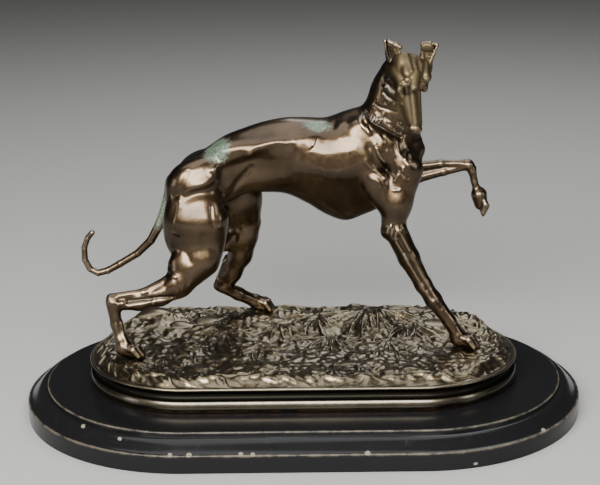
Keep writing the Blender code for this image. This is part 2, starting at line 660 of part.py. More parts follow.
def bronze_mesh():
    """The whippet and its base as one casting."""
    base = bpy.data.objects.new("base", mesh_from(base_form(), "bronze whippet"))
    figure = bpy.data.objects.new("figure", whippet_mesh())
    for obj in (base, figure):
        bpy.context.scene.collection.objects.link(obj)
    union = base.modifiers.new("Cast as one", "BOOLEAN")
    union.operation = "UNION"
    union.solver = "EXACT"
    union.object = figure
    mesh = evaluated_mesh(base, "bronze whippet")
    for obj in (base, figure):
        bpy.data.objects.remove(obj, do_unlink=True)
    form = bmesh.new()
    form.from_mesh(mesh)
    bmesh.ops.remove_doubles(form, verts=form.verts[:], dist=0.00002)
    bmesh.ops.dissolve_degenerate(form, edges=form.edges[:], dist=0.00002)
    return mesh_from(form, "bronze whippet")


def main():
    clear_scene()
    collection = bpy.data.collections.new("Bronze whippet sculpture")
    bpy.context.scene.collection.children.link(collection)
    bronze = make_material("Brown bronze", (0.115, 0.075, 0.048), 1.0, 0.34)
    black = make_material("Black polish", (0.012, 0.012, 0.013), 0.0, 0.22)
    add_object("bronze_whippet", bronze_mesh(), bronze, collection)
    add_object("black_plinth", mesh_from(plinth_form(), "black plinth"), black, collection)


main()
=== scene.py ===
# %% [markdown]
# # A bronze whippet on a black plinth
# The real object is a table bronze: a whippet with one forepaw raised, cast together with a
# piece of rough ground, on a polished black plinth with half-round ends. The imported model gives
# its sizes and its solids. This lesson makes the fine surface: muscles, folds of skin, grass,
# stones, mouldings, patina and wear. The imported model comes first, because everything else is
# placed by it.

import math

import bmesh
import bpy
import numpy as np
from mathutils import Matrix, Vector, noise


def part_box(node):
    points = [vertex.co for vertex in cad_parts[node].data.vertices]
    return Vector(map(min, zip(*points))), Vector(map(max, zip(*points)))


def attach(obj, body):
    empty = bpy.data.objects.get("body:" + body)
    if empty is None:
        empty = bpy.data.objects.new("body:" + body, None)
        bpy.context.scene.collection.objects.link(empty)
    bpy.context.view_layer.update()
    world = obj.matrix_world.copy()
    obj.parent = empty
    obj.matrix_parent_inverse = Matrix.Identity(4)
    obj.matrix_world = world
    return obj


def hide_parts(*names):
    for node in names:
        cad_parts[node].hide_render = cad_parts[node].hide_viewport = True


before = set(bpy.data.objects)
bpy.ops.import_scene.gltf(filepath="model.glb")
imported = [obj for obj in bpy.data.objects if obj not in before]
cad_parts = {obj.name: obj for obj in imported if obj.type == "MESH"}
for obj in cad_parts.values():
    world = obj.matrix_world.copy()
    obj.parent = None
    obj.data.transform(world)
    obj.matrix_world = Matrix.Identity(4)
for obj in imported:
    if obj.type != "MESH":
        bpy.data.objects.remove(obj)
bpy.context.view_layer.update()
bronze_low, bronze_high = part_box("bronze_whippet")
plinth_low, plinth_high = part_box("black_plinth")
print("bronze", [round(v, 4) for v in bronze_high - bronze_low])
print("plinth", [round(v, 4) for v in plinth_high - plinth_low])

# %% [markdown]
# The plinth and the bronze base have the same plan: a straight run with a half circle at each
# end. So one stretch serves all their outlines, and each outline is that stretch with a radius
# of its own. The whippet is drawn in hundredths of its own height, from a point on the ground
# under its body, so that its proportions stay together.

# %% The sizes that everything is worked out from
STRETCH = plinth_high.x - plinth_high.y
PLINTH_TOP = plinth_high.z
BASE_BOTTOM = bronze_low.z
BASE_RADIUS = 0.0720
BASE_HEIGHT = 0.0170
RIM_TOP = BASE_BOTTOM + BASE_HEIGHT
RIM_WIDTH = 0.0030
GROUND_RISE = 0.0042
GROUND_LEVEL = RIM_TOP + GROUND_RISE
WHIPPET_HEIGHT = 0.220
UNIT = WHIPPET_HEIGHT / 100
SETBACK = 0.01606
print("straight stretch", round(2 * STRETCH, 4), "whippet", WHIPPET_HEIGHT)


def smooth_step(value):
    value = np.clip(value, 0.0, 1.0)
    return value * value * (3 - 2 * value)

# %% [markdown]
# The camera stands in front of the whippet's right side and a little above it, looking down by
# some seventeen degrees, with a lens long enough to keep the plinth's ends from looking stretched.

# %% Camera
AIM = Vector((-0.0012, 0.0, 0.1191))
CAMERA_DISTANCE = 1.0455
CAMERA_ELEVATION = math.radians(16.8)
CAMERA_TURN = math.radians(0.2)
CAMERA_ROLL = math.radians(-0.7)
SENSOR_WIDTH = 36.0
FOCAL_IN_FRAME_WIDTHS = 1510.1 / 600


def add_camera():
    back = Vector((math.sin(CAMERA_TURN) * math.cos(CAMERA_ELEVATION),
                   -math.cos(CAMERA_TURN) * math.cos(CAMERA_ELEVATION),
                   math.sin(CAMERA_ELEVATION)))
    right = Vector((math.cos(CAMERA_TURN), math.sin(CAMERA_TURN), 0.0))
    up = back.cross(right)
    rolled_right = right * math.cos(CAMERA_ROLL) + up * math.sin(CAMERA_ROLL)
    rolled_up = up * math.cos(CAMERA_ROLL) - right * math.sin(CAMERA_ROLL)
    axes = Matrix((rolled_right, rolled_up, back)).transposed().to_4x4()
    camera = bpy.data.objects.new("camera", bpy.data.cameras.new("camera"))
    camera.matrix_world = Matrix.Translation(AIM + back * CAMERA_DISTANCE) @ axes
    camera.data.sensor_width = SENSOR_WIDTH
    camera.data.lens = SENSOR_WIDTH * FOCAL_IN_FRAME_WIDTHS
    bpy.context.scene.collection.objects.link(camera)
    bpy.context.scene.camera = camera
    return camera


camera = add_camera()
print("camera at", [round(v, 3) for v in camera.matrix_world.translation])

# %% [markdown]
# A few helpers do the handwork of modelling. One empties the selection, because an operator acts
# on all that is selected. One runs a modifier and applies it at once. One settles a finished
# piece: its material, the body that it rides on and the solid that it stands for. The others read or
# write all the points of a mesh at once.

# %% Helpers for modelling
def nothing_selected():
    if bpy.context.object and bpy.context.object.mode != "OBJECT":
        bpy.ops.object.mode_set(mode="OBJECT")
    bpy.ops.object.select_all(action="DESELECT")


def make_active(obj):
    nothing_selected()
    obj.select_set(True)
    bpy.context.view_layer.objects.active = obj


def apply_modifier(obj, kind, **settings):
    make_active(obj)
    modifier = obj.modifiers.new(kind.title(), kind)
    for key, value in settings.items():
        setattr(modifier, key, value)
    bpy.ops.object.modifier_apply(modifier=modifier.name)


def settle(obj, material, node):
    obj.data.materials.append(material)
    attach(obj, "root")
    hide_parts(node)
    obj.data.calc_loop_triangles()
    print(obj.name, len(obj.data.loop_triangles), "triangles")


def vertex_places(mesh):
    places = np.empty(3 * len(mesh.vertices))
    mesh.vertices.foreach_get("co", places)
    return places.reshape(-1, 3)


def vertex_normals(mesh):
    normals = np.empty(3 * len(mesh.vertices))
    mesh.vertex_normals.foreach_get("vector", normals)
    return normals.reshape(-1, 3)


def set_places(mesh, places):
    mesh.vertices.foreach_set("co", np.ascontiguousarray(places, dtype=np.float64).ravel())
    mesh.update()


def keep_attribute(mesh, name, values):
    """Keep one number for each vertex, for a material to read."""
    attribute = mesh.attributes.new(name, "FLOAT", "POINT")
    attribute.data.foreach_set("value", np.clip(values, -1, 1).astype(np.float32))
    print(mesh.name, name, "from", round(float(np.min(values)), 2), "to", round(float(np.max(values)), 2))

# %% [markdown]
# A figure like this is modelled in wax over a wire, then cast. Muscles are laid on as lumps and
# drawn into one another with the thumb, and folds are cut with a tool. The same can be done here:
# rods and eggs are melted into one skin, and strokes raise or cut it. That keeps every muscle
# editable by its place and size, where a sculpting brush would leave only a mesh.

# %% Rods, eggs and how they melt together
LEAST_EGG_SLOPE = 0.02
LEAST_REACH = 0.0001


def unit_vector(v):
    v = np.asarray(v, float)
    return v / np.linalg.norm(v)


def rod(start, end, radius_start, radius_end, flat=1.0, side=(0, 1, 0), melt=1.2, cut=False):
    """A tapering rod with round ends, flattened across the direction side."""
    a, b = np.array(start, float), np.array(end, float)
    ball = (0.5 * (a + b), 0.5 * np.linalg.norm(b - a) + max(radius_start, radius_end))
    return {"kind": "rod", "a": a, "b": b, "ra": radius_start, "rb": radius_end, "flat": flat,
            "side": unit_vector(side), "melt": melt, "cut": cut, "ball": ball}


def egg(centre, radii, pitch=0.0, melt=1.6, cut=False, axes=None):
    """An ellipsoid, pitched nose-up about Y in degrees, or set along axes."""
    if axes is None:
        axes = Matrix.Rotation(-math.radians(pitch), 3, "Y")
    return {"kind": "egg", "c": np.array(centre, float), "r": np.array(radii, float),
            "axes": np.array(axes), "melt": melt, "cut": cut,
            "ball": (np.array(centre, float), max(radii))}


def chain(points, melt=1.2, flat=1.0, side=(0, 1, 0)):
    """Rods end to end through points of (x, y, z, radius)."""
    rods = []
    for one, two in zip(points, points[1:]):
        rods.append(rod(one[:3], two[:3], one[3], two[3], flat, side, melt))
    return rods


def mirrored(shape):
    """The same shape on the other side of the whippet's middle plane."""
    other = dict(shape)
    flip = np.array([1.0, -1.0, 1.0])
    other["ball"] = (shape["ball"][0] * flip, shape["ball"][1])
    if shape["kind"] == "rod":
        other["a"], other["b"] = shape["a"] * flip, shape["b"] * flip
        other["side"] = shape["side"] * flip
    else:
        other["c"] = shape["c"] * flip
        other["axes"] = np.diag(flip) @ shape["axes"] @ np.diag(flip)
    return other


def distance(shape, p):
    """Signed distance from points to one rod or egg, positive outside."""
    if shape["kind"] == "egg":
        scaled = ((p - shape["c"]) @ shape["axes"]) / shape["r"]
        reach = np.linalg.norm(scaled, axis=1)
        slope = np.linalg.norm(scaled / shape["r"], axis=1)
        return reach * (reach - 1) / np.maximum(slope, LEAST_EGG_SLOPE)
    stretch = 1 / shape["flat"] - 1
    side = shape["side"]
    a = shape["a"] + stretch * (shape["a"] @ side) * side
    b = shape["b"] + stretch * (shape["b"] @ side) * side
    q = p + stretch * (p @ side)[:, None] * side
    along = b - a
    share = np.clip((q - a) @ along / (along @ along), 0, 1)
    away = q - a - share[:, None] * along
    reach = np.linalg.norm(away, axis=1)
    radius = shape["ra"] + (shape["rb"] - shape["ra"]) * share
    across = (away @ side) / np.maximum(reach, LEAST_REACH)
    slope = np.sqrt(1 + (1 / shape["flat"] ** 2 - 1) * across ** 2)
    return (reach - radius) / slope


def melted(first, second, melt):
    """Smooth union of two distances."""
    share = np.clip(0.5 + 0.5 * (second - first) / melt, 0, 1)
    return second * (1 - share) + first * share - melt * share * (1 - share)


# %% [markdown]
# The trunk is no row of eggs but one form drawn through stations, like the ribs of a boat: each
# station has a back line, a belly line and a width, and smooth curves run between them. A whippet's
# chest is deep and keeled and its loin narrow and arched, and that shows from every side.

# %% The trunk
# Stations: place along the body, height of the back, height of the belly, half width
TRUNK = np.array([
    (-41.0, 55.0, 44.5, 4.0), (-37.0, 59.2, 42.5, 6.4), (-31.0, 62.4, 42.5, 7.8),
    (-24.0, 67.0, 45.5, 7.4), (-17.5, 69.6, 48.4, 6.2), (-11.0, 71.6, 48.8, 6.6),
    (-5.0, 72.6, 48.3, 8.4), (1.5, 72.6, 45.3, 10.0), (8.0, 72.4, 41.3, 11.0),
    (14.0, 74.5, 39.3, 11.0), (20.0, 75.8, 41.2, 10.2), (26.5, 74.2, 44.1, 9.0),
    (32.6, 68.9, 47.6, 7.3), (36.1, 64.6, 55.6, 4.2),
])
TRUNK_END_ROUNDING = 2.2


def flowing(x, stations, values):
    """Values between stations, on smooth curves instead of straight lines."""
    slopes = np.gradient(values, stations)
    index = np.clip(np.searchsorted(stations, x) - 1, 0, len(stations) - 2)
    gap = stations[index + 1] - stations[index]
    share = (x - stations[index]) / gap
    rest = 1 - share
    ends = values[index] * (1 + 2 * share) * rest ** 2
    ends = ends + values[index + 1] * (3 - 2 * share) * share ** 2
    return ends + gap * share * rest * (slopes[index] * rest - slopes[index + 1] * share)


def trunk_distance(p):
    """Distance to the trunk, whose sections are egg-shaped and keeled towards the brisket."""
    x = np.clip(p[:, 0], TRUNK[0, 0], TRUNK[-1, 0])
    top, low, wide = (flowing(x, TRUNK[:, 0], TRUNK[:, i]) for i in (1, 2, 3))
    middle = 0.5 * (top + low)
    tall = 0.5 * (top - low)
    up = (p[:, 2] - middle) / tall
    keel = smooth_step((x + 8) / 16) * smooth_step((36 - x) / 10)
    wide = wide * (1 + (0.10 + 0.22 * keel) * np.clip(up, -1, 1))
    beyond = (p[:, 0] - x) / TRUNK_END_ROUNDING
    reach = np.sqrt((p[:, 1] / wide) ** 2 + up ** 2 + beyond ** 2)
    slope = np.sqrt((p[:, 1] / wide ** 2) ** 2 + (up / tall) ** 2 + (beyond / TRUNK_END_ROUNDING) ** 2)
    return reach * (reach - 1) / np.maximum(slope, LEAST_EGG_SLOPE)


def trunk_sections():
    """Eggs inside the trunk, station by station, from which its skin is started."""
    return [egg((x, 0, 0.5 * (top + low)), (0.8, 0.95 * wide, 0.5 * (top - low)))
            for x, top, low, wide in TRUNK]


print("trunk from", TRUNK[0, 0], "to", TRUNK[-1, 0], "hundredths of the whippet's height")

# %% [markdown]
# The legs are bones first: thigh, shank, hock, pastern, as rods that meet at the joints. Over them
# lie the few muscles that a sighthound shows, the long tendon behind the shank and the flat ones
# of the forearm. The right hind leg pushes off behind, the left hind leg is drawn in under the
# belly, the right foreleg braces forward and the left one is raised and bent at the wrist.

# %% Legs
def legs():
    near_hind = chain([(-33.6, -6.6, 52.0, 8.6), (-33.0, -8.0, 41.5, 9.0), (-32.2, -9.0, 33.6, 7.6)],
                      melt=3.0, flat=0.60)
    near_hind += [
        egg((-28.3, -8.6, 40.0), (4.6, 3.6, 9.5), pitch=4),
        egg((-38.9, -7.6, 39.5), (4.4, 4.0, 9.5), pitch=-2),
        egg((-36.4, -10.4, 28.2), (6.0, 3.6, 5.4), pitch=38),
    ]
    near_hind += chain([(-31.4, -10.0, 29.4, 5.6), (-39.0, -11.6, 22.3, 4.3),
                        (-44.8, -12.7, 19.0, 3.3), (-51.0, -13.9, 17.3, 2.6),
                        (-57.8, -15.0, 16.9, 2.0)], melt=1.8, flat=0.84)
    near_hind += chain([(-43.0, -12.4, 23.4, 1.5), (-50.0, -13.8, 20.4, 1.1),
                        (-60.0, -15.0, 19.2, 1.2)], melt=0.8)
    near_hind += chain([(-59.4, -15.0, 17.4, 2.2), (-58.4, -15.9, 10.5, 1.75),
                        (-57.0, -16.8, 5.6, 1.9), (-55.8, -17.2, 3.4, 2.2)], melt=1.2)
    far_hind = chain([(-29.5, 6.6, 51.0, 8.4), (-20.6, 8.0, 45.0, 7.4), (-18.9, 9.2, 36.5, 5.8)],
                     melt=3.0, flat=0.60)
    far_hind += [egg((-22.5, 9.2, 31.0), (3.8, 3.4, 6.4), pitch=-60)]
    far_hind += chain([(-18.8, 9.7, 31.4, 4.7), (-20.4, 11.4, 24.8, 3.9), (-23.2, 13.1, 18.0, 3.0),
                       (-25.2, 14.2, 13.6, 2.6)], melt=1.8, flat=0.84)
    far_hind += chain([(-24.6, 12.0, 23.5, 1.2), (-28.4, 14.0, 13.0, 1.2)], melt=0.8)
    far_hind += chain([(-26.6, 14.1, 12.9, 2.3), (-21.4, 15.6, 9.6, 2.1), (-17.0, 16.8, 7.0, 2.1)],
                      melt=1.2)
    near_fore = chain([(32.6, -7.4, 57.5, 5.4), (29.5, -9.0, 47.0, 4.7), (28.4, -9.6, 39.0, 3.6)],
                      melt=2.4, flat=0.8)
    near_fore += [egg((26.5, -9.6, 38.0), (1.7, 1.5, 1.9), melt=1.2)]
    near_fore += chain([(29.4, -9.6, 38.4, 3.7), (33.6, -9.9, 29.5, 3.3), (38.2, -10.2, 20.7, 2.6),
                        (41.4, -10.5, 15.8, 2.6), (46.4, -11.0, 8.8, 2.1), (48.8, -11.4, 4.8, 2.2)],
                       melt=1.2)
    far_fore = chain([(31.0, 6.6, 58.0, 4.8), (31.5, 7.4, 50.5, 3.6)], melt=2.4)
    far_fore += chain([(33.0, 7.4, 54.2, 1.7), (44.6, 7.8, 55.4, 1.25), (52.6, 8.1, 55.3, 1.15)], melt=0.7)
    far_fore += chain([(31.8, 7.3, 49.6, 2.2), (37.5, 7.5, 51.0, 1.75), (45.6, 7.8, 52.9, 1.45),
                       (52.0, 8.1, 54.2, 1.3)], melt=0.7)
    far_fore += [rod((33.0, 7.4, 52.0), (51.0, 8.0, 54.6), 2.4, 1.2, flat=0.5, melt=0.6),
                 egg((53.6, 8.1, 54.8), (2.1, 1.9, 1.9), pitch=-30, melt=0.8),
                 egg((54.6, 8.0, 53.2), (1.2, 1.5, 1.3), melt=0.5)]
    far_fore += chain([(54.8, 8.1, 53.4, 1.5), (55.6, 8.2, 49.6, 1.05), (56.6, 8.2, 46.2, 1.35)], melt=0.8)
    return near_hind + far_hind + near_fore + far_fore


# %% [markdown]
# A whippet stands on long, arched toes. One paw is modelled in a frame of its own, a pad with four
# knuckled toes and their claws, and is then set down four times: three flat on the ground and one
# hanging from the raised wrist.

# %% Paws
def paw(centre, heading, droop, size):
    """A paw that points along heading and down by droop, in degrees."""
    turn = Matrix.Rotation(math.radians(heading), 3, "Z") @ Matrix.Rotation(math.radians(droop), 3, "Y")

    def at(x, y, z):
        return Vector(centre) + turn @ (Vector((x, y, z)) * size)

    shapes = [rod(at(-0.9, 0, 0.1), at(1.3, 0, -0.5), 2.0 * size, 1.7 * size, melt=0.8)]
    for index, spread in enumerate((-1.5, -0.52, 0.52, 1.5)):
        long = 0.7 if index in (1, 2) else 0.0
        knuckle = at(1.7 + long, spread, 0.35)
        tip = at(3.1 + long, 1.15 * spread, -1.1)
        shapes.append(rod(at(-0.4, 0.6 * spread, 0.5), knuckle, 0.8 * size, 0.86 * size, melt=0.25))
        shapes.append(rod(knuckle, tip, 0.86 * size, 0.62 * size, melt=0.2))
        claw = at(3.7 + long, 1.2 * spread, -1.5)
        shapes.append(rod(tip, claw, 0.36 * size, 0.18 * size, melt=0.15))
    return shapes


def paws():
    shapes = paw((-55.2, -17.3, 2.9), -6, 4, size=1.3)
    shapes += paw((-14.6, 17.4, 6.0), 0, 8, size=1.25)
    shapes += paw((50.4, -11.5, 3.0), -8, 6, size=1.35)
    shapes += paw((57.7, 8.2, 43.8), 0, 62, size=1.3)
    return shapes


print(len(legs()), "forms in the legs and", len(paws()), "in the paws")

# %% [markdown]
# Over the trunk lie the muscles that show through a sighthound's thin skin: the points of the hips,
# the long muscles beside the spine, the shoulder blades and the breast. Those of one side are given,
# and the other side mirrors them. The neck is a tapering column that rises almost straight.

# %% Muscles of the trunk, and the neck
def masses():
    """The muscles of both sides of the trunk."""
    one_side = [
        egg((-24.6, -4.8, 62.6), (2.6, 2.0, 2.2), melt=2.4),
        egg((-32.2, -5.6, 56.4), (7.5, 4.0, 4.4), pitch=26, melt=2.4),
        rod((-22.0, -4.6, 63.4), (2.0, -6.4, 66.4), 2.5, 3.0, melt=2.6),
        rod((18.4, -6.6, 70.5), (31.6, -7.6, 58.2), 3.3, 3.7, flat=0.8, melt=2.0),
        egg((24.6, -9.3, 51.5), (4.6, 3.0, 7.6), pitch=24, melt=1.8),
        egg((31.4, -4.8, 56.2), (3.4, 3.4, 5.2), melt=2.0),
        egg((22.6, -7.9, 62.6), (5.0, 3.0, 5.4), pitch=-30, melt=1.8),
    ]
    shapes = one_side + [mirrored(shape) for shape in one_side]
    shapes += [egg((37.2, -0.6, 62.0), (1.8, 2.0, 2.0), melt=0.9)]
    return shapes


def neck():
    return chain([(27.6, 0.2, 67.0, 10.3), (28.7, -0.4, 74.6, 8.1), (29.5, -1.8, 81.0, 7.0),
                  (30.3, -3.6, 86.6, 5.8)], melt=3.0, flat=0.80)

# %% [markdown]
# The head is turned to look straight out to the side, so it gets a frame of its own: ahead along
# the muzzle, across to its left and above the skull. The face is cut as a carver would cut it:
# eye sockets first, then the eyeballs and lids in them, the ridge of the muzzle, the mouth line.

# %% Head
HEAD_CENTRE = np.array([33.9, -6.6, 87.4])
HEAD_TURN = math.radians(20)
HEAD_DROP = math.radians(34)
HEAD_TILT = Matrix.Rotation(math.radians(17), 3, "Y")
FORWARD = np.array(HEAD_TILT @ Vector((math.sin(HEAD_TURN) * math.cos(HEAD_DROP),
                                       -math.cos(HEAD_TURN) * math.cos(HEAD_DROP),
                                       -math.sin(HEAD_DROP))))
LEFTWARD = np.array(HEAD_TILT @ Vector((math.cos(HEAD_TURN), math.sin(HEAD_TURN), 0.0)))
UPWARD = np.cross(FORWARD, LEFTWARD)


def on_head(ahead, across, above):
    return HEAD_CENTRE + ahead * FORWARD + across * LEFTWARD + above * UPWARD


def head_rod(start, end, radius_start, radius_end, flat=1.0, melt=0.8, cut=False):
    return rod(on_head(*start), on_head(*end), radius_start, radius_end, flat, UPWARD, melt, cut)


def head_egg(centre, radii, melt=0.8, cut=False):
    return egg(on_head(*centre), radii, melt=melt, cut=cut,
               axes=np.column_stack((FORWARD, LEFTWARD, UPWARD)))


def head():
    shapes = [
        head_egg((-0.4, 0, 0.4), (6.2, 6.0, 4.7), melt=1.6),
        head_rod((2.0, -0.6, -1.0), (7.6, -1.8, -1.8), 4.2, 3.0, melt=1.2),
        head_rod((7.0, -1.8, -1.9), (20.0, -1.6, -1.9), 3.0, 2.0, melt=0.9),
        head_rod((3.0, -1.2, -3.8), (18.8, -1.6, -3.5), 2.5, 1.3, melt=0.9),
        head_rod((2.4, -0.6, 3.0), (7.4, -1.2, 1.5), 2.0, 1.6, melt=0.9),
        head_rod((6.8, -1.2, 1.0), (20.2, -1.4, -0.4), 1.7, 1.1, flat=0.7, melt=0.6),
        head_egg((21.2, -1.5, -1.3), (1.5, 1.85, 1.6), melt=0.4),
        head_rod((-2.6, 0, 5.6), (2.6, 0, 5.0), 0.45, 0.5, melt=0.9, cut=True),
        head_egg((12.0, 0.9, -2.6), (1.7, 0.9, 1.1), melt=0.4),
        head_egg((16.6, 0.5, -2.9), (2.2, 0.8, 1.1), melt=0.4),
    ]
    for side in (-1, 1):
        shapes += [
            head_egg((-2.2, 3.9 * side, 2.4), (3.2, 2.4, 2.4), melt=1.4),
            head_egg((2.4, 3.2 * side, 2.9), (2.6, 1.8, 1.5), melt=0.8),
            head_rod((-2.8, 3.6 * side, 4.6), (3.2, 2.6 * side, 4.1), 0.5, 0.5, melt=0.7),
            head_rod((-0.2, 5.2 * side, -0.6), (5.0, 3.9 * side, -0.2), 1.3, 1.1, melt=0.8),
            head_egg((-0.5, 4.4 * side, -2.2), (2.8, 2.1, 2.8), melt=1.4),
            head_rod((7.0, 3.3 * side - 1.2, -0.4), (9.6, 2.9 * side - 1.5, 0.0), 0.9, 0.6,
                     melt=0.8, cut=True),
        ]
    for side in (-1, 1):
        shapes += [
            head_egg((5.4, 2.7 * side - 0.4, 1.7), (1.4, 1.35, 1.0), melt=0.4, cut=True),
            head_egg((4.7, 2.5 * side - 0.4, 1.5), (1.25, 1.25, 1.25), melt=0.12),
            head_rod((5.0, 1.4 * side - 0.4, 2.9), (4.1, 3.9 * side, 2.6), 0.5, 0.45, melt=0.3),
            head_rod((6.3, 1.6 * side - 0.6, 0.8), (5.2, 4.0 * side - 0.2, 0.8), 0.45, 0.45, melt=0.3),
            head_rod((8.0, 1.3 * side - 0.6, 1.3), (20.0, 0.9 * side - 1.0, -0.3), 0.6, 0.5, melt=0.8),
            head_rod((10.0, 3.0 * side - 1.7, -3.0), (19.4, 1.9 * side - 1.6, -3.0), 0.28, 0.24,
                     melt=0.15, cut=True),
            head_egg((21.2, 1.35 * side - 1.5, -1.2), (0.95, 0.75, 0.9), melt=0.3),
            head_egg((22.5, 0.95 * side - 1.5, -1.3), (0.55, 0.45, 0.42), melt=0.15, cut=True),
        ]
    return shapes


# %% [markdown]
# Cast ears are thin but solid. Each is a flat web, stiffened by a rim in front and behind, with its
# tip folded forward, as a whippet holds its ears when it listens. The tail is one long chain of
# rods that curls up at its end.

# %% Ears
def ears():
    """Raised ears, each a thin web between two rims, with the tip folded forward."""
    left_flat = unit_vector((0.45, 1.0, 0.25))
    right_flat = unit_vector((-0.10, 1.0, 0.30))
    left = chain([(28.6, -5.2, 89.8, 2.4), (28.0, -5.0, 93.0, 2.0), (26.6, -5.0, 96.6, 0.9)],
                 melt=0.4, flat=0.24, side=left_flat)
    left += chain([(27.6, -5.4, 90.8, 0.6), (26.4, -5.4, 94.5, 0.4), (26.0, -5.4, 97.2, 0.45)], melt=0.3)
    left += chain([(31.0, -7.2, 90.6, 0.8), (29.0, -7.0, 94.7, 0.55), (27.0, -6.2, 97.5, 0.5)], melt=0.3)
    left += chain([(27.3, -6.3, 97.2, 0.5), (29.2, -7.0, 96.2, 0.75), (30.5, -7.4, 95.6, 0.7)], melt=0.3)
    left += [rod((29.2, -7.2, 95.8), (30.0, -7.6, 94.3), 1.1, 0.6, flat=0.5, side=left_flat, melt=0.3)]
    right = chain([(38.2, -5.0, 89.8, 2.2), (39.1, -5.0, 93.2, 2.3), (39.7, -5.0, 95.0, 2.2)],
                  melt=0.4, flat=0.22, side=right_flat)
    right += chain([(37.5, -5.8, 90.4, 0.8), (37.3, -6.2, 93.9, 0.5), (37.3, -6.2, 96.2, 0.55)], melt=0.3)
    right += chain([(39.0, -6.4, 89.2, 0.8), (40.6, -6.2, 92.9, 0.5), (41.9, -6.0, 95.7, 0.5)], melt=0.3)
    right += chain([(37.4, -6.1, 96.3, 0.6), (39.6, -6.0, 96.5, 0.6), (41.8, -5.9, 96.0, 0.5)], melt=0.3)
    right += [rod((38.2, -6.9, 95.3), (39.6, -6.9, 95.2), 1.35, 1.2, flat=0.34, side=right_flat, melt=0.2),
              egg((39.3, -6.5, 92.4), (0.55, 0.5, 0.5), melt=0.2)]
    return left + right


# %% Tail
def tail():
    points = [(-40.5, 0, 51.3, 2.4), (-42.6, 0, 44.9, 1.8), (-45.2, 0, 38.6, 1.55),
              (-48.2, 0, 33.2, 1.35), (-52.6, 0, 29.0, 1.2), (-58.4, 0, 25.5, 1.15),
              (-62.4, 0, 23.3, 1.1), (-65.6, 0, 22.5, 1.05), (-68.2, 0, 23.9, 1.0),
              (-69.6, 0, 27.0, 1.0), (-69.6, 0, 31.0, 0.95), (-68.4, 0, 34.2, 0.9),
              (-66.9, 0, 36.0, 0.9)]
    return chain(points, melt=0.25)


print(len(head()), "forms in the head,", len(ears()), "in the ears")

# %% [markdown]
# Folds, tendons and veins are strokes over the finished forms. Each is a line of points in the
# side view with a half width and a height: positive raises the skin, negative cuts it. A stroke
# acts on the right side, the left side or both, and fades out towards the middle plane.

# %% Strokes that raise or cut the skin
RIGHT, LEFT, BOTH = -1, 1, 0
# Near the middle plane no stroke acts, and from there on it fades in
BARE_MIDDLE = 1.5
FADE_IN = 2.5


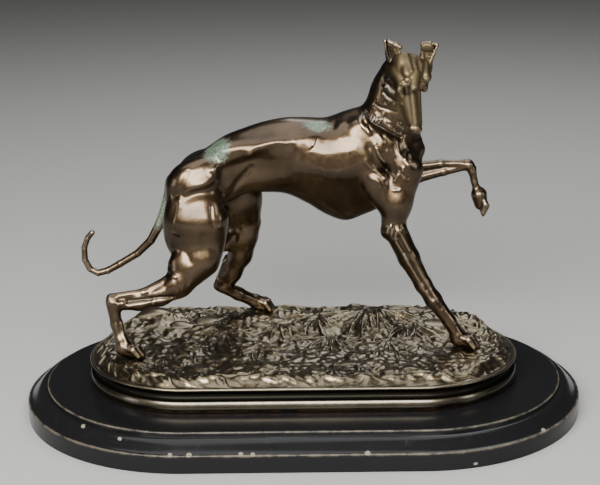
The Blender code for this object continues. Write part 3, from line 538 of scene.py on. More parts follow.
def strokes():
    return [
        # Between the large muscles
        (((-15.5, 58.0), (-20.0, 53.0), (-24.5, 46.0)), 1.1, -0.50, BOTH),
        (((30.0, 36.0), (41.0, 17.0)), 0.5, -0.30, RIGHT),
        # Folds of the neck
        (((25.9, 83.6), (26.6, 82.5), (27.8, 81.5), (29.0, 80.9), (30.2, 80.1)), 0.45, 0.4, RIGHT),
        (((27.2, 84.3), (28.1, 83.0), (29.5, 82.3)), 0.6, -0.25, RIGHT),
        (((25.7, 81.8), (26.9, 80.5), (28.4, 79.6), (29.6, 79.2)), 0.5, -0.29, RIGHT),
        (((23.6, 79.0), (24.5, 78.6), (26.0, 78.1)), 0.35, 0.27, RIGHT),
        (((28.4, 78.6), (29.3, 77.8), (30.3, 77.0)), 0.35, 0.27, RIGHT),
        (((25.4, 79.8), (26.6, 79.1), (27.5, 78.5)), 0.35, 0.18, RIGHT),
        (((23.3, 77.8), (24.8, 77.1), (26.9, 76.6), (29.3, 75.7)), 0.5, -0.25, RIGHT),
        (((21.8, 75.6), (23.0, 75.2), (23.9, 74.4), (24.8, 73.9)), 0.5, 0.32, RIGHT),
        (((24.8, 74.2), (25.7, 75.1), (26.6, 75.3), (27.2, 74.6), (27.8, 73.8)), 0.45, 0.3, RIGHT),
        (((24.5, 73.4), (26.0, 72.9), (27.8, 72.3)), 0.32, 0.22, RIGHT),
        (((20.6, 74.6), (21.4, 73.6), (22.6, 72.8), (24.5, 72.3), (26.3, 71.4), (27.8, 70.5),
          (29.4, 69.4), (30.9, 68.8)), 0.5, 0.43, RIGHT),
        (((21.4, 72.6), (23.2, 71.7), (25.1, 70.8), (26.9, 69.7), (28.7, 68.7),
          (30.6, 67.6)), 0.75, -0.54, RIGHT),
        (((19.6, 74.0), (20.8, 72.6), (21.7, 71.5), (22.3, 70.6)), 0.4, 0.32, RIGHT),
        (((18.3, 73.4), (18.7, 72.3), (19.5, 71.3), (20.4, 70.3), (21.3, 69.4)), 0.5, 0.36, RIGHT),
        (((20.3, 71.4), (21.0, 70.4), (21.6, 69.6)), 0.35, 0.25, RIGHT),
        (((30.0, 71.8), (30.9, 71.0), (31.6, 70.4)), 0.5, 0.32, RIGHT),
        (((28.2, 73.5), (29.7, 72.9), (30.9, 71.9)), 0.35, 0.18, RIGHT),
        (((26.5, 85.9), (26.8, 85.6)), 0.45, 0.29, RIGHT),
        (((27.6, 84.7), (28.0, 84.4)), 0.45, 0.29, RIGHT),
        (((22.3, 77.7), (22.7, 77.8)), 0.5, 0.29, RIGHT),
        (((25.8, 86.4), (25.4, 84.1)), 0.8, -0.22, RIGHT),
        # Shoulder and chest
        (((23.8, 69.2), (24.7, 68.1), (25.3, 66.9)), 0.59, 0.21, BOTH),
        (((25.9, 68.8), (27.2, 67.5), (28.1, 66.4)), 0.59, 0.23, BOTH),
        (((29.4, 67.7), (29.8, 65.6), (30.6, 63.2), (31.7, 61.5), (32.9, 60.1)), 1.04, 0.37, BOTH),
        (((30.9, 63.5), (30.3, 65.3), (30.5, 67.0)), 0.45, -0.18, BOTH),
        (((31.6, 66.9), (32.8, 65.0), (33.7, 63.2)), 1.04, 0.22, BOTH),
        (((33.4, 64.0), (32.4, 63.1), (32.1, 61.8)), 0.52, 0.22, BOTH),
        (((22.5, 66.4), (23.4, 64.6), (24.4, 62.3), (25.9, 60.3)), 0.49, 0.34, BOTH),
        (((21.3, 65.1), (22.5, 62.9), (24.1, 60.3), (26.3, 58.0)), 1.43, -0.55, BOTH),
        (((20.0, 61.1), (21.3, 59.5), (22.5, 58.5), (24.4, 57.3), (25.9, 56.0)), 0.78, 0.34, BOTH),
        (((26.8, 64.1), (28.1, 63.4), (28.7, 62.8)), 0.65, 0.18, BOTH),
        (((22.5, 55.6), (23.7, 54.7), (24.3, 53.5)), 0.91, 0.22, BOTH),
        (((28.6, 52.1), (30.2, 52.2)), 0.45, 0.22, BOTH),
        (((29.9, 56.7), (29.3, 55.7), (28.7, 54.8)), 0.45, 0.18, BOTH),
        (((26.3, 56.7), (25.6, 55.2), (26.2, 53.1)), 0.65, 0.18, BOTH),
        (((30.5, 58.3), (31.7, 56.8), (32.9, 55.8)), 0.52, -0.22, BOTH),
        (((31.4, 59.0), (31.1, 58.0)), 0.52, 0.22, BOTH),
        (((33.9, 61.7), (33.6, 61.3)), 0.59, 0.29, BOTH),
        # Back, ribs and flank
        (((-37.5, 49.6), (-36.2, 51.5), (-34.2, 52.9), (-31.8, 53.8), (-29.3, 54.5), (-27.2, 55.6),
          (-26.3, 57.3), (-26.8, 58.6)), 1.33, 0.38, BOTH),
        (((-26.8, 58.6), (-25.3, 59.6), (-22.9, 60.4), (-18.8, 61.4), (-15.7, 63.0)), 1.33, 0.34, BOTH),
        (((-15.7, 63.0), (-13.5, 64.6), (-10.0, 66.3), (-6.3, 67.0), (-2.6, 67.3)), 1.42, 0.34, BOTH),
        (((-2.6, 67.6), (0.5, 68.2), (4.5, 68.8), (8.5, 69.9), (12.0, 71.2)), 1.7, 0.2, BOTH),
        (((-35.6, 50.0), (-32.4, 51.5), (-29.4, 52.2), (-26.6, 53.4)), 1.84, -0.38, BOTH),
        (((-24.5, 57.6), (-20.4, 59.0), (-16.4, 60.5), (-11.9, 63.3), (-7.6, 64.7)), 1.95, -0.47, BOTH),
        (((-32.3, 56.7), (-29.6, 58.0), (-28.1, 59.6)), 1.72, -0.26, BOTH),
        (((17.5, 74.7), (15.4, 74.0), (12.9, 73.4), (11.3, 72.5), (10.0, 70.8)), 0.95, -0.3, BOTH),
        (((-22.5, 43.2), (-21.3, 41.7), (-20.0, 42.0)), 1.71, 0.34, BOTH),
        (((-34.8, 58.1), (-36.1, 55.2), (-37.4, 52.1)), 0.85, -0.21, BOTH),
        (((-22.0, 54.6), (-14.5, 57.6), (-6.0, 58.6)), 3.6, -0.9, BOTH),
        (((13.5, 67.0), (11.5, 61.0), (10.5, 55.0)), 1.15, 0.16, BOTH),
        (((9.8, 66.6), (7.8, 60.4), (7.0, 54.4)), 1.15, 0.16, BOTH),
        (((6.1, 66.2), (4.2, 59.8), (3.6, 54.0)), 1.15, 0.16, BOTH),
        (((2.6, 65.8), (0.8, 59.4), (0.4, 53.8)), 1.15, 0.16, BOTH),
        (((-0.8, 65.4), (-2.5, 59.4), (-2.8, 54.4)), 1.15, 0.15, BOTH),
        (((-4.2, 65.0), (-5.8, 59.6), (-6.0, 55.4)), 1.15, 0.13, BOTH),
        (((-2.0, 59.5), (7.0, 60.0), (16.0, 59.5)), 6.0, 1.0, BOTH),
        # Left hind leg
        (((-20.0, 36.5), (-21.8, 30.5), (-25.0, 23.5)), 0.9, -0.3, LEFT),
        (((-26.0, 21.0), (-27.4, 16.6)), 0.6, -0.4, LEFT),
        (((-24.2, 45.0), (-22.6, 39.0), (-20.9, 33.5)), 0.9, 0.25, LEFT),
        # Right hind leg
        (((-38.5, 51.0), (-32.0, 51.8), (-25.5, 51.0)), 1.7, -0.45, RIGHT),
        (((-37.5, 42.0), (-31.5, 41.3), (-26.0, 42.0)), 3.6, 0.6, RIGHT),
        (((-37.8, 47.5), (-38.5, 45.4), (-39.5, 42.8), (-40.4, 40.1)), 0.9, 0.2, RIGHT),
        (((-27.9, 47.4), (-27.9, 45.3), (-27.7, 43.1), (-27.4, 41.5)), 0.54, -0.19, RIGHT),
        (((-25.0, 46.3), (-24.9, 44.2), (-25.3, 41.2)), 0.81, 0.22, RIGHT),
        (((-39.6, 39.5), (-38.4, 38.9)), 0.68, 0.19, RIGHT),
        (((-38.0, 38.7), (-36.6, 34.4), (-34.8, 30.3)), 1.08, -0.22, RIGHT),
        (((-30.5, 38.6), (-30.7, 34.0), (-30.1, 29.7)), 1.22, -0.19, RIGHT),
        (((-42.0, 27.1), (-40.9, 26.5), (-39.6, 25.6)), 0.54, 0.22, RIGHT),
        (((-36.1, 26.6), (-35.6, 24.7), (-36.3, 22.4)), 0.68, -0.22, RIGHT),
        (((-39.3, 24.8), (-39.0, 22.6), (-37.9, 20.9)), 0.54, -0.16, RIGHT),
        (((-43.2, 23.5), (-41.9, 25.0), (-40.9, 26.3)), 0.68, -0.13, RIGHT),
        (((-40.7, 19.3), (-44.4, 19.3), (-47.6, 18.8), (-50.7, 18.5), (-54.5, 18.0)), 0.74, -0.85, RIGHT),
        (((-49.5, 20.8), (-48.5, 21.0)), 0.68, 0.22, RIGHT),
        (((-46.3, 18.8), (-46.7, 17.1)), 0.61, 0.22, RIGHT),
        (((-57.3, 17.5), (-56.3, 17.7)), 0.54, 0.19, RIGHT),
        (((-54.2, 16.7), (-53.6, 16.7)), 0.47, 0.16, RIGHT),
        (((-38.9, 19.4), (-36.3, 20.9), (-33.2, 22.5)), 0.81, -0.19, RIGHT),
        (((-56.6, 11.5), (-56.0, 7.9), (-55.1, 5.3)), 0.47, 0.19, RIGHT),
        (((-57.7, 11.9), (-57.2, 8.1), (-56.3, 5.5)), 0.47, -0.16, RIGHT),
        # Right foreleg
        (((28.5, 40.8), (28.8, 39.3), (28.4, 37.3)), 0.42, -0.29, RIGHT),
        (((27.7, 40.8), (26.8, 39.7), (26.5, 38.4)), 0.48, 0.2, RIGHT),
        (((30.2, 37.3), (32.4, 33.1), (34.3, 29.2), (36.6, 24.7), (39.1, 20.1)), 0.72, -0.42, RIGHT),
        (((39.1, 20.1), (41.4, 16.9), (43.6, 13.8)), 0.48, -0.2, RIGHT),
        (((30.2, 39.3), (31.8, 36.3), (33.4, 33.0)), 0.72, 0.2, RIGHT),
        (((40.4, 19.7), (41.4, 17.5), (42.3, 15.9)), 0.6, 0.23, RIGHT),
        (((45.2, 12.7), (46.5, 11.0), (48.1, 8.7)), 0.48, 0.2, RIGHT),
        (((31.8, 31.4), (34.4, 26.8), (36.9, 22.8)), 0.48, 0.16, RIGHT),
        (((31.5, 40.0), (32.5, 38.6)), 0.48, 0.16, RIGHT),
    ]


def stroke_height(p):
    """How much the strokes raise the skin at each point."""
    height = np.zeros(len(p))
    outward = smooth_step((np.abs(p[:, 1]) - BARE_MIDDLE) / FADE_IN)
    for points, half_width, most, side in strokes():
        line = np.array(points)
        low, high = line.min(axis=0) - 3 * half_width, line.max(axis=0) + 3 * half_width
        near = np.nonzero((p[:, 0] > low[0]) & (p[:, 0] < high[0])
                          & (p[:, 2] > low[1]) & (p[:, 2] < high[1]))[0]
        if len(near) == 0:
            continue
        flat = p[near][:, [0, 2]]
        nearest = np.full(len(near), np.inf)
        for one, two in zip(line, line[1:]):
            along = two - one
            share = np.clip((flat - one) @ along / (along @ along), 0, 1)
            nearest = np.minimum(nearest, np.linalg.norm(flat - one - share[:, None] * along, axis=1))
        stroke = most * np.exp(-(nearest / half_width) ** 2) * outward[near]
        if side:
            stroke = stroke * smooth_step(p[near, 1] * side)
        height[near] += stroke
    return height


print(len(strokes()), "strokes")

# %% [markdown]
# The skin starts as the hulls of all the forms. A voxel remesh makes them one closed body, a little
# smoothing takes out its steps, and then every point moves onto the true melted surface. Only
# forms near a point count for it, so each form keeps a list of the points that it can touch.

# %% Draw one skin over all the forms
FINE_VOXEL = 0.00062
SKIN_TRIANGLES = 190000
CORNERS = np.array(((1, 1, 1), (1, -1, -1), (-1, 1, -1), (-1, -1, 1)), float)
GRADIENT_STEP = 0.08
LEAST_SKIN_SLOPE = 0.3
LONGEST_MOVE = 0.5


def ball_points(rings=8, steps=14):
    """Points on a ball of radius 1, as a plain UV sphere has them."""
    points = [Vector((0, 0, 1)), Vector((0, 0, -1))]
    for ring in range(1, rings):
        polar = math.pi * ring / rings
        for step in range(steps):
            angle = 2 * math.pi * step / steps
            flat = math.sin(polar)
            points.append(Vector((flat * math.cos(angle), flat * math.sin(angle), math.cos(polar))))
    return points


def placed_balls(shape):
    """How a unit ball is placed to make an egg, or each end of a rod."""
    if shape["kind"] == "egg":
        size = Matrix.Diagonal(Vector(shape["r"])).to_4x4()
        return [Matrix.Translation(shape["c"]) @ Matrix(shape["axes"]).to_4x4() @ size]
    flatten = Matrix.Scale(shape["flat"], 4, Vector(shape["side"]))
    return [Matrix.Translation(shape["a"]) @ flatten @ Matrix.Scale(shape["ra"], 4),
            Matrix.Translation(shape["b"]) @ flatten @ Matrix.Scale(shape["rb"], 4)]


def add_hull(form, balls):
    """The hull of some placed balls, as one closed body."""
    corners = [form.verts.new(place @ point) for place in balls for point in ball_points()]
    hull = bmesh.ops.convex_hull(form, input=corners)
    inner = [item for item in hull["geom_interior"] if isinstance(item, bmesh.types.BMVert)]
    bmesh.ops.delete(form, geom=inner, context="VERTS")


def start_skin(shapes):
    """Overlapping hulls: the trunk between its stations, and every rod and egg."""
    form = bmesh.new()
    sections = trunk_sections()
    for one, two in zip(sections, sections[1:]):
        add_hull(form, placed_balls(one) + placed_balls(two))
    for shape in shapes:
        if not shape["cut"]:
            add_hull(form, placed_balls(shape))
    mesh = bpy.data.meshes.new("whippet skin")
    form.to_mesh(mesh)
    form.free()
    return mesh


def near_lists(p, shapes, margin=1.6):
    """For each shape, the points that it can touch."""
    lists = []
    for shape in shapes:
        centre, radius = shape["ball"]
        away = np.linalg.norm(p - centre, axis=1)
        lists.append(np.nonzero(away < radius + shape["melt"] + margin)[0])
    return lists


def skin_distance(p, shapes, lists):
    """Signed distance to the whippet's skin."""
    reach = trunk_distance(p)
    for shape, near in zip(shapes, lists):
        if len(near) == 0:
            continue
        away = distance(shape, p[near])
        if shape["cut"]:
            reach[near] = -melted(-reach[near], away, shape["melt"])
        else:
            reach[near] = melted(reach[near], away, shape["melt"])
    return reach - stroke_height(p)


def skin_slope(p, shapes, lists):
    """The gradient of the skin's distance, by small steps to four corners."""
    slope = np.zeros_like(p)
    for corner in CORNERS:
        slope += corner * skin_distance(p + GRADIENT_STEP * corner, shapes, lists)[:, None]
    return slope / (4 * GRADIENT_STEP)


def drawn_onto_skin(points, shapes, rounds=5):
    """The points moved along the gradient onto the skin, a little further each round."""
    lists = near_lists(points, shapes)
    for _ in range(rounds):
        slope = skin_slope(points, shapes, lists)
        size = np.maximum(np.linalg.norm(slope, axis=1), LEAST_SKIN_SLOPE)
        move = np.clip(skin_distance(points, shapes, lists) / size, -LONGEST_MOVE, LONGEST_MOVE)
        points = points - slope * (move / size)[:, None]
    return points


def proudness(points, shapes, step=0.45, scale=0.07):
    """How convex the skin is at each point: above 0 on edges and ridges, below 0 in hollows."""
    lists = near_lists(points, shapes)
    mean = np.zeros(len(points))
    for corner in CORNERS:
        mean += skin_distance(points + step * corner / math.sqrt(3), shapes, lists)
    return (mean / 4 - skin_distance(points, shapes, lists)) / scale


# %% Cast the whippet
def whippet_piece():
    shapes = legs() + paws() + masses() + neck() + head() + ears() + tail()
    whippet = bpy.data.objects.new("whippet", start_skin(shapes))
    bpy.context.scene.collection.objects.link(whippet)
    apply_modifier(whippet, "REMESH", mode="VOXEL", voxel_size=FINE_VOXEL / UNIT, adaptivity=0.0)
    apply_modifier(whippet, "SMOOTH", factor=0.5, iterations=3)
    print("skin of", len(whippet.data.vertices), "points")
    points = drawn_onto_skin(vertex_places(whippet.data), shapes)
    set_places(whippet.data, points)
    faces = 2 * len(whippet.data.polygons)
    apply_modifier(whippet, "DECIMATE", decimate_type="COLLAPSE", ratio=min(1.0, SKIN_TRIANGLES / faces))
    proud = proudness(vertex_places(whippet.data), shapes)
    whippet.data.transform(Matrix.Translation((0, SETBACK, GROUND_LEVEL)) @ Matrix.Scale(UNIT, 4))
    whippet.data.shade_smooth()
    keep_attribute(whippet.data, "proud", proud)
    return whippet


whippet = whippet_piece()

# %% [markdown]
# The bronze base and the plinth are both mouldings run round a stadium. A circle is extruded ring
# by ring along the profile, as on a lathe, then its halves are moved apart and the straight run
# between them is cut into short steps. That gives clean mouldings with even faces. The rough ground
# inside the rim is a sheet of its own, laid over the base afterwards.

# %% Turn a profile and draw it out
POLE_REACH = 0.0002
SAME_PLACE = 0.00001


def turned_and_drawn_out(name, profile, steps, run_steps):
    """Extrude a circle along a profile of (radius, height), then part its halves along X."""
    first = profile[0]
    nothing_selected()
    bpy.ops.mesh.primitive_circle_add(vertices=steps, radius=first[0], fill_type="NOTHING",
                                      location=(0, 0, 0), rotation=(0, 0, math.pi / steps))
    obj = bpy.context.object
    obj.name = name
    bpy.ops.object.transform_apply(location=False, rotation=True, scale=False)
    bpy.ops.object.mode_set(mode="EDIT")
    bpy.ops.mesh.select_all(action="SELECT")
    bpy.ops.transform.translate(value=(0, 0, first[1]))
    for before, after in zip(profile, profile[1:]):
        bpy.ops.mesh.extrude_edges_move()
        growth = after[0] / before[0]
        bpy.ops.transform.resize(value=(growth, growth, 1), center_override=(0, 0, 0))
        bpy.ops.transform.translate(value=(0, 0, after[1] - before[1]))
    bpy.ops.object.mode_set(mode="OBJECT")
    form = bmesh.new()
    form.from_mesh(obj.data)
    long_edges = [edge for edge in form.edges if edge.verts[0].co.x * edge.verts[1].co.x < 0]
    for vert in form.verts:
        vert.co.x += math.copysign(STRETCH, vert.co.x)
    bmesh.ops.subdivide_edges(form, edges=long_edges, cuts=run_steps - 1, use_grid_fill=True)
    for vert in form.verts:
        if math.hypot(max(abs(vert.co.x) - STRETCH, 0.0), vert.co.y) < POLE_REACH:
            vert.co.x = min(max(vert.co.x, -STRETCH), STRETCH)
            vert.co.y = 0.0
    bmesh.ops.remove_doubles(form, verts=form.verts[:], dist=SAME_PLACE)
    bmesh.ops.recalc_face_normals(form, faces=form.faces[:])
    open_edges = sum(1 for edge in form.edges if not edge.is_manifold)
    form.to_mesh(obj.data)
    form.free()
    print(name, len(obj.data.polygons), "faces,", open_edges, "open edges")
    return obj


def arc(centre, radius, start, end, count):
    """Points on an arc in the plane of a profile, between two angles in degrees."""
    points = []
    for index in range(count + 1):
        angle = math.radians(start + (end - start) * index / count)
        points.append((centre[0] + radius * math.cos(angle), centre[1] + radius * math.sin(angle)))
    return points


# %% [markdown]
# The ground is rough modelling in wax: pushed, dragged and cut with a loop tool. Its large swells
# come from a short list of mounds, and stones lie half sunk in it. Over them go blades, each a
# curved ridge with a round back that thins towards its ends. A fringe of them licks along the
# rim, tussocks are combed down from their tops, and the rest is scattered like tool marks.

# %% The ground's large form
GROUND_BACK_RISE = 0.0075
GROUND_SHOULDER = 0.0100
# Mounds in the whippet's hundredths: place, spread along and across, rise
GROUND_MOUNDS = (
    (23.5, 4.0, 6.0, 9.0, 3.6), (34.0, -4.0, 6.0, 6.0, 1.8), (52.0, -12.0, 6.5, 5.0, 0.6),
    (-50.0, 13.0, 9.0, 7.0, 1.5), (-36.0, -11.0, 5.0, 4.0, 1.2), (-24.0, -17.0, 4.0, 3.0, 1.1),
    (-6.0, 2.0, 5.0, 3.5, 1.3), (-12.3, 17.7, 7.0, 5.0, 0.4),
)


def to_run(x, y):
    """Distance of places from the straight run's middle line."""
    return np.hypot(np.maximum(np.abs(x) - STRETCH, 0.0), y)


def ground_swell(x, y):
    """The ground's large form above the rim, as the solid has it."""
    level = GROUND_RISE + GROUND_BACK_RISE * smooth_step(y / (0.75 * BASE_RADIUS))
    for cx, cy, sx, sy, rise in GROUND_MOUNDS:
        dx = (x / UNIT - cx) / sx
        dy = ((y - SETBACK) / UNIT - cy) / sy
        level = level + rise * UNIT * np.exp(-dx * dx - dy * dy)
    swell = 0.35 * np.sin(x / (4.1 * UNIT)) * np.cos(y / (3.3 * UNIT) + 0.8)
    return level + swell * UNIT * 0.5


def noise_at(x, y, scale, seed):
    """Smooth noise at many places, scale being the size of its waves in the places' own unit."""
    return np.array([noise.noise((a / scale, b / scale, seed)) for a, b in zip(x, y)])


# %% Stones, tussocks and blades, in millimetres
# Stones: place, half sizes, rise
STONES = (
    (-112, 46, 15, 9, 2.2), (-88, 30, 8, 5, 1.2), (-80, -9, 5, 4, 1.4), (-98, 2, 6, 4, 1.0),
    (-70, 38, 9, 6, 1.2), (-64, 12, 5, 4, 1.1), (-30, 30, 8, 5, 0.9), (5, -20, 5, 4, 0.8),
    (30, -36, 6, 4, 0.8), (96, 30, 9, 6, 1.2), (118, 12, 6, 5, 1.0), (-120, -8, 6, 4, 1.0),
)
# Tussocks: top, then number, length, half width and rise of the blades combed down from it
TUSSOCKS = (
    (51, 50, 34, 40, 1.25, 2.0), (80, 30, 24, 34, 1.2, 1.6), (-14, 30, 12, 22, 1.1, 1.2),
    (-55, 22, 12, 20, 1.1, 1.2), (12, 44, 16, 28, 1.2, 1.4), (108, 34, 14, 20, 1.1, 1.2),
    (22, 14, 14, 24, 1.2, 1.3), (-96, -24, 12, 18, 1.0, 1.0), (60, 2, 14, 24, 1.1, 1.1),
    (-30, -6, 10, 18, 1.1, 1.0),
)
# Rows of the fringe: distance in from the rim and step along it, then length, half width and rise
FRINGE = ((17.0, 10.0, 15, 1.6, 1.1), (10.0, 6.5, 18, 1.9, 1.8))
TOOL_MARKS = 300
LUMP_SIZE, LUMP_RISE = 11.0, 1.7
CRUMB_SIZE, CRUMB_RISE = 3.8, 0.6
TEXTURE_SINK = 0.3


def blade(dice, x, y, heading, length, curl, half_width, rise):
    """One blade: root, heading in degrees, length, curl, half width and rise, each a little varied."""
    return (x, y, heading, length * dice.uniform(0.65, 1.15), curl + dice.normal(0, 0.35),
            half_width * dice.uniform(0.75, 1.25), rise * dice.uniform(0.7, 1.3))


def rim_place(along, bend):
    """A place on the stadium whose ends are rounded by bend, and the heading outwards there."""
    straight = 1000 * STRETCH
    half_turn = math.pi * bend
    along = along % (4 * straight + 2 * half_turn)
    if along < 2 * straight:
        return along - straight, -bend, -90.0
    along -= 2 * straight
    if along < half_turn:
        turn = along / bend
        return straight + bend * math.sin(turn), -bend * math.cos(turn), math.degrees(turn) - 90
    along -= half_turn
    if along < 2 * straight:
        return straight - along, bend, 90.0
    turn = (along - 2 * straight) / bend
    return -straight - bend * math.sin(turn), bend * math.cos(turn), 90 + math.degrees(turn)


def blade_table():
    """All the blades: tool marks, tussocks combed down, and the two rows of the fringe."""
    dice = np.random.default_rng(11)
    blades = []
    for _ in range(TOOL_MARKS):
        heading = dice.normal(-25, 40) + 180 * dice.integers(0, 2)
        blades.append(blade(dice, dice.uniform(-142, 142), dice.uniform(-62, 66), heading, 8.5,
                            dice.choice((-0.9, 0.9)), 1.3, 0.75))
    for x, y, number, length, half_width, rise in TUSSOCKS:
        for index in range(number):
            heading = -172 + 164 * index / (number - 1) + dice.normal(0, 5)
            out = dice.uniform(0.0, 7.0)
            blades.append(blade(dice, x + out * math.cos(math.radians(heading)),
                                y + out * math.sin(math.radians(heading)), heading,
                                length, 0.35, half_width, rise))
    for inset, step, length, half_width, rise in FRINGE:
        bend = 1000 * (BASE_RADIUS - RIM_WIDTH) - inset
        for index in range(int((4000 * STRETCH + 2 * math.pi * bend) / step)):
            x, y, outwards = rim_place(index * step + dice.uniform(-1, 1), bend)
            blades.append(blade(dice, x, y, outwards + dice.normal(48, 20), length, 0.9,
                                half_width, rise))
    return blades


def add_blade(level, x, y, marks):
    """Raise the ground along one blade, keeping whatever stands higher already."""
    root_x, root_y, heading, length, curl, half_width, rise = marks
    near = np.nonzero((np.abs(x - root_x) < length + 2) & (np.abs(y - root_y) < length + 2))[0]
    if len(near) == 0:
        return
    steps = 8
    place = np.array([root_x, root_y])
    angle = math.radians(heading)
    best = np.zeros(len(near))
    for index in range(steps):
        ahead = np.array([math.cos(angle), math.sin(angle)]) * length / steps
        dx, dy = x[near] - place[0], y[near] - place[1]
        share = np.clip((dx * ahead[0] + dy * ahead[1]) / (ahead @ ahead), 0, 1)
        away = np.hypot(dx - share * ahead[0], dy - share * ahead[1])
        taper = np.sin(math.pi * (0.10 + 0.88 * (index + share) / steps)) ** 0.8
        round_back = np.sqrt(np.maximum(0.0, 1 - (away / (half_width * taper)) ** 2))
        best = np.maximum(best, rise * taper * round_back)
        place = place + ahead
        angle += curl / steps
    level[near] = np.maximum(level[near], best)


def ground_texture(x, y):
    """Relief of stones, tussocks and blades in millimetres, at places in millimetres."""
    level = np.zeros(len(x))
    for marks in blade_table():
        add_blade(level, x, y, marks)
    level += LUMP_RISE * noise_at(x, y, LUMP_SIZE, 11.0) + CRUMB_RISE * noise_at(x, y, CRUMB_SIZE, 4.0)
    for cx, cy, rx, ry, rise in STONES:
        away = np.hypot((x - cx) / rx, (y - cy) / ry)
        stone = rise * np.sqrt(np.maximum(0.0, 1 - away ** 2)) ** 0.7
        level = np.where(away < 1, np.maximum(0.4 * level, stone), level)
    return level - TEXTURE_SINK


# %% The rough ground inside the rim
GROUND_SINK = 0.0004
RELIEF_FADE = 0.0025
RELIEF_SCALE = 0.0010


def ground_piece(columns=452, rows=216, neighbours=4):
    """A grid spread over the stadium and raised; its relief against its neighbours is kept."""
    rim_inner = BASE_RADIUS - RIM_WIDTH
    nothing_selected()
    bpy.ops.mesh.primitive_grid_add(x_subdivisions=columns, y_subdivisions=rows, size=2)
    ground = bpy.context.object
    ground.name = "bronze_ground"
    places = vertex_places(ground.data)
    y = places[:, 1] * rim_inner
    x = places[:, 0] * (STRETCH + np.sqrt(np.maximum(0.0, rim_inner ** 2 - y ** 2)))
    inside = rim_inner - to_run(x, y)
    texture = 0.001 * ground_texture(1000 * x, 1000 * y) * smooth_step(inside / RELIEF_FADE)
    level = ground_swell(x, y) * smooth_step(inside / GROUND_SHOULDER) + texture
    set_places(ground.data, np.column_stack((x, y, RIM_TOP - GROUND_SINK + level)))
    ground.data.shade_smooth()
    relief = texture.reshape(rows + 1, columns + 1)
    around = relief.copy()
    for axis in (0, 1):
        shifts = range(-neighbours, neighbours + 1)
        around = sum(np.roll(around, shift, axis) for shift in shifts) / len(shifts)
    keep_attribute(ground.data, "proud", ((relief - around) / RELIEF_SCALE).ravel())
    return ground


ground = ground_piece()

# %% [markdown]
# The side of the bronze base has a small bead round its rim, a cove under it and a flat,
# slightly bulging band at the foot. Its outline is one profile, so it is turned and drawn out. How
# proud each point stands is worked out from the profile: the bead is rubbed bright, and the cove is
# set to -1, which paints it near black as shade.

# %% The moulded side of the bronze base
BEAD_RADIUS = 0.0011
BAND_HEIGHT = 0.0080
BAND_INSET = 0.0008
BAND_BULGE = 0.0014
COVE_DEPTH = 0.0040


def mouldings_piece():
    bead = BEAD_RADIUS
    rim_inner = BASE_RADIUS - RIM_WIDTH
    profile = [(rim_inner - 0.0006, RIM_TOP - 0.0009), (rim_inner - 0.0001, RIM_TOP - 0.0005)]
    profile += arc((BASE_RADIUS - bead, RIM_TOP - bead), bead, 125, -80, 9)
    band_top = BASE_BOTTOM + BAND_HEIGHT
    cove_top = RIM_TOP - 2 * bead
    cove_radius = (cove_top - band_top) / 2
    cove_centre = (BASE_RADIUS - COVE_DEPTH + cove_radius, band_top + cove_radius)
    profile += arc(cove_centre, cove_radius, 110, 250, 10)
    for index in range(13):
        share = index / 12
        bulge = BAND_BULGE * 4 * share * (1 - share)
        profile.append((BASE_RADIUS - BAND_INSET + bulge, band_top + (BASE_BOTTOM - band_top) * share))
    profile += [(BASE_RADIUS * 0.6, BASE_BOTTOM), (0.0001, BASE_BOTTOM)]
    mouldings = turned_and_drawn_out("bronze_mouldings", profile, 240, 60)
    mouldings.data.shade_smooth()
    places = vertex_places(mouldings.data)
    away = to_run(places[:, 0], places[:, 1])
    edge = np.hypot(away - (BASE_RADIUS - bead), places[:, 2] - RIM_TOP)
    proud = np.exp(-(edge / 0.0012) ** 2)
    bulge = (places[:, 2] - (BASE_BOTTOM + 0.0042)) / 0.0035
    proud = np.where(places[:, 2] < band_top, 0.15 * np.exp(-bulge ** 2), proud)
    # Painted shade: the whole cove is given -1, so its finish colours it near black as if in shadow
    cove = (places[:, 2] < cove_top) & (places[:, 2] > band_top - 0.0005)
    keep_attribute(mouldings.data, "proud", np.where(cove, -1.0, proud))
    return mouldings


mouldings = mouldings_piece()

# %% [markdown]
# The plinth is a slab of black stone with a flat ledge round the bronze, a fillet, an ogee that
# swells out from it and a straight band at the foot. Its edges are eased by a small arc, because
# a polished edge catches the light. They are also where it is worn, which is kept for the polish.

# %% The black plinth
PLINTH_LEDGE = 0.0305
LEDGE_CUT_UP = 0.0300
PLINTH_FLARE = 0.0140
PLINTH_BAND = 0.0125
PLINTH_FILLET = 0.0026
ARRIS_RADIUS = 0.0008


